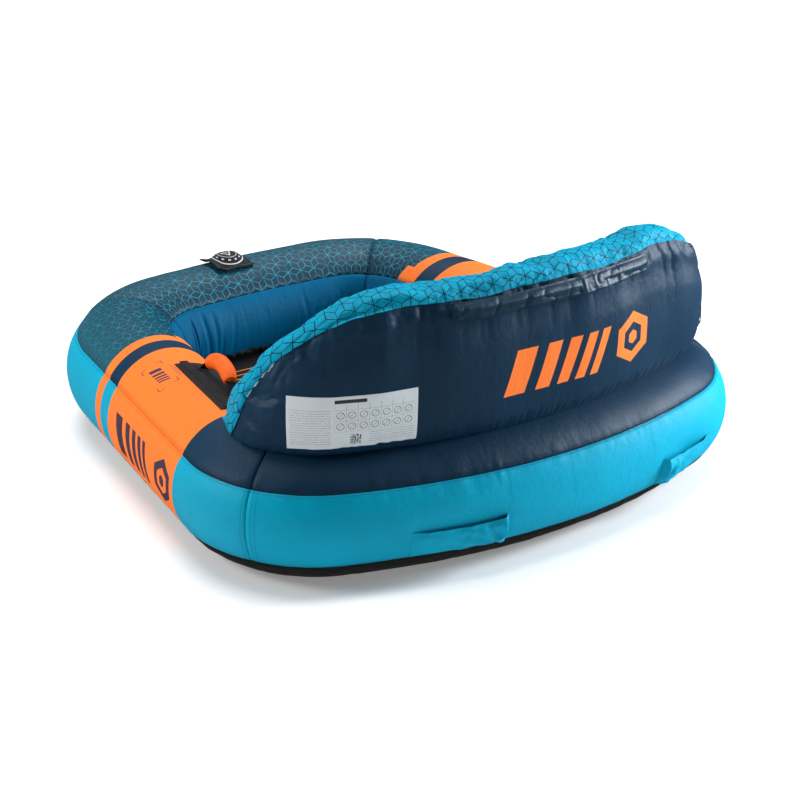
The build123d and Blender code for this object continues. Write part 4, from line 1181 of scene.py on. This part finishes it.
def make_grip(body, pivot, axis, out, material):
    """A fat foam grip sewn in a cloth sleeve, bent along the handle's arch and pinched at both ends."""
    pivot, axis, out = (np.array(v, float) for v in (pivot, axis, out))
    axis, out = axis / np.linalg.norm(axis), out / np.linalg.norm(out)
    across = np.cross(axis, out)
    sweep = np.radians(np.linspace(-ARCH_SWEEP / 2, ARCH_SWEEP / 2, 90))
    turn = np.linspace(0, 2 * np.pi, 49)[:-1]
    grid_s, grid_t = grid(sweep, turn)
    end = np.abs(grid_s) / sweep[-1]
    round_end = np.sqrt(np.clip(1 - ease(end, 0.93, 1.0) * 0.82, 0.02, 1))
    fat = GRIP_RADIUS * (1 - 0.12 * ease(end, 0.55, 0.92)) * round_end
    fat += 0.0006 * noise(grid_s * 12, np.cos(grid_t) * 1.5 + 4, 71)
    fat += 0.0004 * noise(grid_s * 40, grid_t * 1.3, 72)
    fat -= 0.0014 * bell(end - 0.90, 0.03)
    fat -= 0.0011 * bell(np.angle(np.exp(1j * (grid_t - 4.3))), 0.10)
    radial = np.sin(grid_s)[..., None] * axis + np.cos(grid_s)[..., None] * out
    centre = pivot + out * (ARCH_TOP - ARCH_RADIUS) + radial * ARCH_RADIUS
    points = centre + (np.cos(grid_t) * fat)[..., None] * radial
    points = points + (np.sin(grid_t) * fat * 0.97)[..., None] * across
    caps = [centre[cap] + (points[cap] - centre[cap]) * 0.10 for cap in (0, -1)]
    points = np.concatenate([caps[0][None], points, caps[1][None]])
    around = np.concatenate([grid_t[:1], grid_t, grid_t[-1:]]) * 0.017
    length = np.concatenate([grid_s[:1], grid_s, grid_s[-1:]]) * ARCH_RADIUS
    faces = grid_faces(*points.shape[:2], wrap_columns=True, flip=True)
    name = f"{body}_grip_sleeve"
    grip = stand_in(name, points, faces, np.stack([length, around], -1), material, f"{body}_grip", body)
    subdivide = grip.modifiers.new("smooth", "SUBSURF")
    subdivide.levels = subdivide.render_levels = 1
    return grip


def make_valve_cover(name, centre, along, out, ground, finish, thread, lifted):
    """A neoprene flap over a valve: domed over the cap, its free edges a little lifted."""
    centre, along, out = (np.array(v, float) for v in (centre, along, out))
    across = np.cross(out, along)
    a, b = grid(np.linspace(-0.058, 0.058, 60), np.linspace(-0.056, 0.056, 58))
    round_corner = 0.0035 * (np.abs(a) / 0.058) ** 6 * (np.abs(b) / 0.056) ** 6
    b = b - np.sign(b) * round_corner
    reach = np.hypot(a, b)
    dome = 0.0212 * (1 - ease(reach, 0.026, 0.060))
    drape = 0.0060 + dome + 0.0007 * noise(a / 0.02, b / 0.02, 81)
    drape += lifted * 0.010 * ease(a, 0.030, 0.058) + 0.0045 * ease(b, 0.042, 0.054)
    height = drape - ground(b)
    points = centre + a[..., None] * along + b[..., None] * across + height[..., None] * out
    flap = slab(f"{name}_flap", points, np.stack([a, b], -1), 0.0042, finish, body=name)
    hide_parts(name)
    normal = np.repeat(out[None], 52, 0)
    inner = slice(4, 56)
    lines = [(points[inner, 3] + out * 0.0004, normal), (points[inner, -4] + out * 0.0004, normal)]
    normal = np.repeat(out[None], 50, 0)
    lines += [(points[3, 4:54] + out * 0.0004, normal), (points[-4, 4:54] + out * 0.0004, normal)]
    stitching(f"{name}_stitching", lines, thread, body=name)


def make_valve_covers(finish, thread):
    def on_tube(b):
        return TUBE_RADIUS - np.sqrt(TUBE_RADIUS ** 2 - b ** 2)

    def on_corner(b):
        radius = REAR_CORNER_RADIUS + 0.062
        return radius - np.sqrt(radius ** 2 - b ** 2)

    make_valve_cover("ring_valve_cover", RING_VALVE, RING_VALVE_ALONG, (0, 0, 1), on_tube,
                     finish, thread, 1.0)
    make_valve_cover("backrest_valve_cover", BACK_VALVE, (0, 0, 1), BACK_VALVE_OUT, on_corner,
                     finish, thread, 0.3)


def make_tow_details(thread):
    """Box stitching that holds the tow patch to the cover."""
    lines = []
    for inset in (0.004, 0.008):
        reach = 0.095 - inset
        low, high = -34 + math.degrees(inset / TUBE_RADIUS), -6 - math.degrees(inset / TUBE_RADIUS)
        turn = np.linspace(low, high, 40)
        for x in (-reach, reach):
            place = np.full(turn.shape, x)
            points = on_ring(place, turn, 0.0024)
            lines.append((points, points - on_ring(place, turn, -0.05)))
        place = np.linspace(-reach, reach, 80)
        for angle in (low, high):
            points = on_ring(place, np.full(place.shape, angle), 0.0024)
            lines.append((points, points - on_ring(place, np.full(place.shape, angle), -0.05)))
    stitching("tow_patch_stitching", lines, thread)


# ---------------------------------------------------------------- finishes and scene
def dress_nodes():
    """Materials for the CAD nodes that are shown as they are."""
    plastic = moulded("black_plastic", srgb(24, 24, 26), 0.42)
    vinyl = moulded("valve_vinyl", srgb(46, 48, 52), 0.5)
    cap = moulded("valve_plastic", srgb(60, 62, 66), 0.38)
    webbing = woven_black("black_webbing", "space", 0.0026)
    finishes = {
        "tow_harness": webbing, "tow_strap": webbing, "tow_patch": webbing, "zip_tape": webbing,
        "zip_teeth": plastic, "zip_slider": plastic, "zip_pull": plastic, "tow_eye": brushed_steel(),
        "left_vent_mesh": open_mesh(), "right_vent_mesh": open_mesh(),
    }
    for valve in ("ring", "backrest"):
        finishes[f"{valve}_valve_base"] = vinyl
        finishes[f"{valve}_valve_insert"] = cap
        finishes[f"{valve}_valve_cap"] = cap
    for handle in ("left", "right", "centre_left", "centre_right"):
        finishes[f"{handle}_handle_feet"] = webbing
        finishes[f"{handle}_handle_strap"] = webbing
    for name, finish in finishes.items():
        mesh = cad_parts[name].data
        mesh.materials.clear()
        mesh.materials.append(finish)


def make_pieces():
    plain_cyan = covered("cyan_cover", CYAN, gloss=0.08).done()
    navy = covered("navy_cover", NAVY, 0.42, gloss=0.14).done()
    finishes = {("front", "top"): front_top_cover(), ("rear", "top"): navy,
                ("front", "outer"): plain_cyan, ("rear", "outer"): plain_cyan}
    for side in ("left", "right"):
        finishes[side, "top"], finishes[side, "outer"] = side_cover(side, "top"), side_cover(side, "outer")
    for side in SIDES:
        finishes[side, "inner"] = covered(f"{side}_inner_cover", BLUE, 0.44, gloss=0.05).done()
    dark_thread = woven_black("dark_thread", "space", 0.0012, srgb(20, 26, 34))
    teal_thread = woven_black("teal_thread", "space", 0.0012, srgb(0, 104, 134))
    grey_thread = woven_black("grey_thread", "space", 0.0012, srgb(104, 106, 110))
    black_webbing = woven_black("webbing_strip")
    guard = woven_black("guard_neoprene", "cloth", 0.0030, srgb(25, 24, 26))
    make_ring(finishes)
    make_ring_stitching(teal_thread, dark_thread)
    make_bottom(tarpaulin())
    trim = covered("black_trim", srgb(24, 23, 25), 0.5, 1.8).done()
    make_deck(deck_print(), trim, moulded("tag_white", srgb(226, 228, 228), 0.5))
    vinyl = bladder_vinyl()
    make_bladders(vinyl)
    front_finish = covered("pattern_cyan_cover", srgb(0, 150, 184), 0.55, 1.4, 0.08)
    front_finish.paint(cube_lines(front_finish.u, front_finish.v, 0.042, 0.0021), DARK_LINE, 0.9)
    shape = make_backrest(backrest_back_cover(), ridge_cover(), front_finish.done())
    make_backrest_air(shape, vinyl)
    make_zip_flap(shape, covered("flap_cover", srgb(16, 46, 66), 0.34, 1.2).done())
    make_label(shape, label_print())
    for side in ("left", "right"):
        make_vent(side, plain_cyan, teal_thread)
        make_guard(side, guard, black_webbing, grey_thread, dark_thread)
    orange = covered("orange_grip", srgb(246, 98, 10), 0.55, 1.3).done()
    for body, side in (("left_handle", 1), ("right_handle", -1)):
        flip = np.array([side, 1, 1])
        make_grip(body, SIDE_PIVOT * flip, SIDE_AXIS * flip, SIDE_OUT * flip, orange)
    for body, side in (("centre_left_handle", 1), ("centre_right_handle", -1)):
        make_grip(body, CENTRE_PIVOT * np.array([side, 1, 1]), (0, 1, 0), (0, 0, 1), orange)
    make_valve_covers(emblem_neoprene(), grey_thread)
    make_tow_details(grey_thread)
    dress_nodes()


def area_light(name, place, aim, size, power, colour=(1, 1, 1)):
    data = bpy.data.lights.new(name, "AREA")
    data.shape, data.size, data.size_y = "RECTANGLE", size[0], size[1]
    data.energy, data.color = power, colour
    lamp = bpy.data.objects.new(name, data)
    bpy.context.scene.collection.objects.link(lamp)
    lamp.location = place
    lamp.rotation_mode = "QUATERNION"
    lamp.rotation_quaternion = (Vector(aim) - Vector(place)).to_track_quat("-Z", "Y")
    return lamp


def make_floor():
    """A wide pale floor, just under the tube."""
    mesh = bpy.data.meshes.new("studio_floor")
    size, level = 40.0, -0.001
    corners = [(-size, -size, level), (size, -size, level), (size, size, level), (-size, size, level)]
    mesh.from_pydata(corners, [], [(0, 1, 2, 3)])
    finish = Finish("studio_floor", (0.80, 0.80, 0.80, 1), 0.9, "space")
    finish.vary(finish.noise(3, 2), 0.995, 1.005)
    finish.set(Emission_Color=(1, 1, 1, 1), Emission_Strength=0.22, Specular_IOR_Level=0.0)
    mesh.materials.append(finish.done())
    floor = bpy.data.objects.new("studio_floor", mesh)
    bpy.context.scene.collection.objects.link(floor)
    floor.visible_glossy = False


def make_studio():
    make_floor()
    scene = bpy.context.scene
    scene.view_settings.view_transform = "Standard"
    world = bpy.data.worlds.new("studio")
    scene.world = world
    world.use_nodes = True
    tree = world.node_tree
    seen, lit = tree.nodes["Background"], tree.nodes.new("ShaderNodeBackground")
    seen.inputs[0].default_value = lit.inputs[0].default_value = (1, 1, 1, 1)
    seen.inputs[1].default_value, lit.inputs[1].default_value = 1.0, 0.10
    rays, mix = tree.nodes.new("ShaderNodeLightPath"), tree.nodes.new("ShaderNodeMixShader")
    tree.links.new(rays.outputs["Is Camera Ray"], mix.inputs[0])
    tree.links.new(lit.outputs[0], mix.inputs[1])
    tree.links.new(seen.outputs[0], mix.inputs[2])
    tree.links.new(mix.outputs[0], tree.nodes["World Output"].inputs[0])
    overhead = bpy.data.lights.new("overhead", "SUN")
    overhead.energy, overhead.angle = 3.0, math.radians(45)
    lamp = bpy.data.objects.new("overhead", overhead)
    scene.collection.objects.link(lamp)
    lamp.rotation_euler = (math.radians(20), math.radians(-10), 0)
    area_light("right_side", (-3.5, 1.7, 1.5), (-0.5, 0.6, 0.45), (0.9, 1.5), 270, (0.86, 0.94, 1.0))
    area_light("left_side", (3.2, -1.2, 2.0), (0.6, -0.2, 0.25), (1.3, 1.3), 75)
    azimuth, elevation = math.radians(VIEW_AZIMUTH), math.radians(VIEW_ELEVATION)
    back = Vector((math.sin(azimuth) * math.cos(elevation), -math.cos(azimuth) * math.cos(elevation),
                   math.sin(elevation)))
    data = bpy.data.cameras.new("camera")
    data.lens, data.sensor_width = VIEW_LENS, 36.0
    data.shift_x, data.shift_y = VIEW_SHIFT
    camera = bpy.data.objects.new("camera", data)
    scene.collection.objects.link(camera)
    camera.location = Vector(VIEW_TARGET) + back * VIEW_DISTANCE
    camera.rotation_mode = "QUATERNION"
    camera.rotation_quaternion = (-back).to_track_quat("-Z", "Y")
    scene.camera = camera


make_pieces()
make_studio()
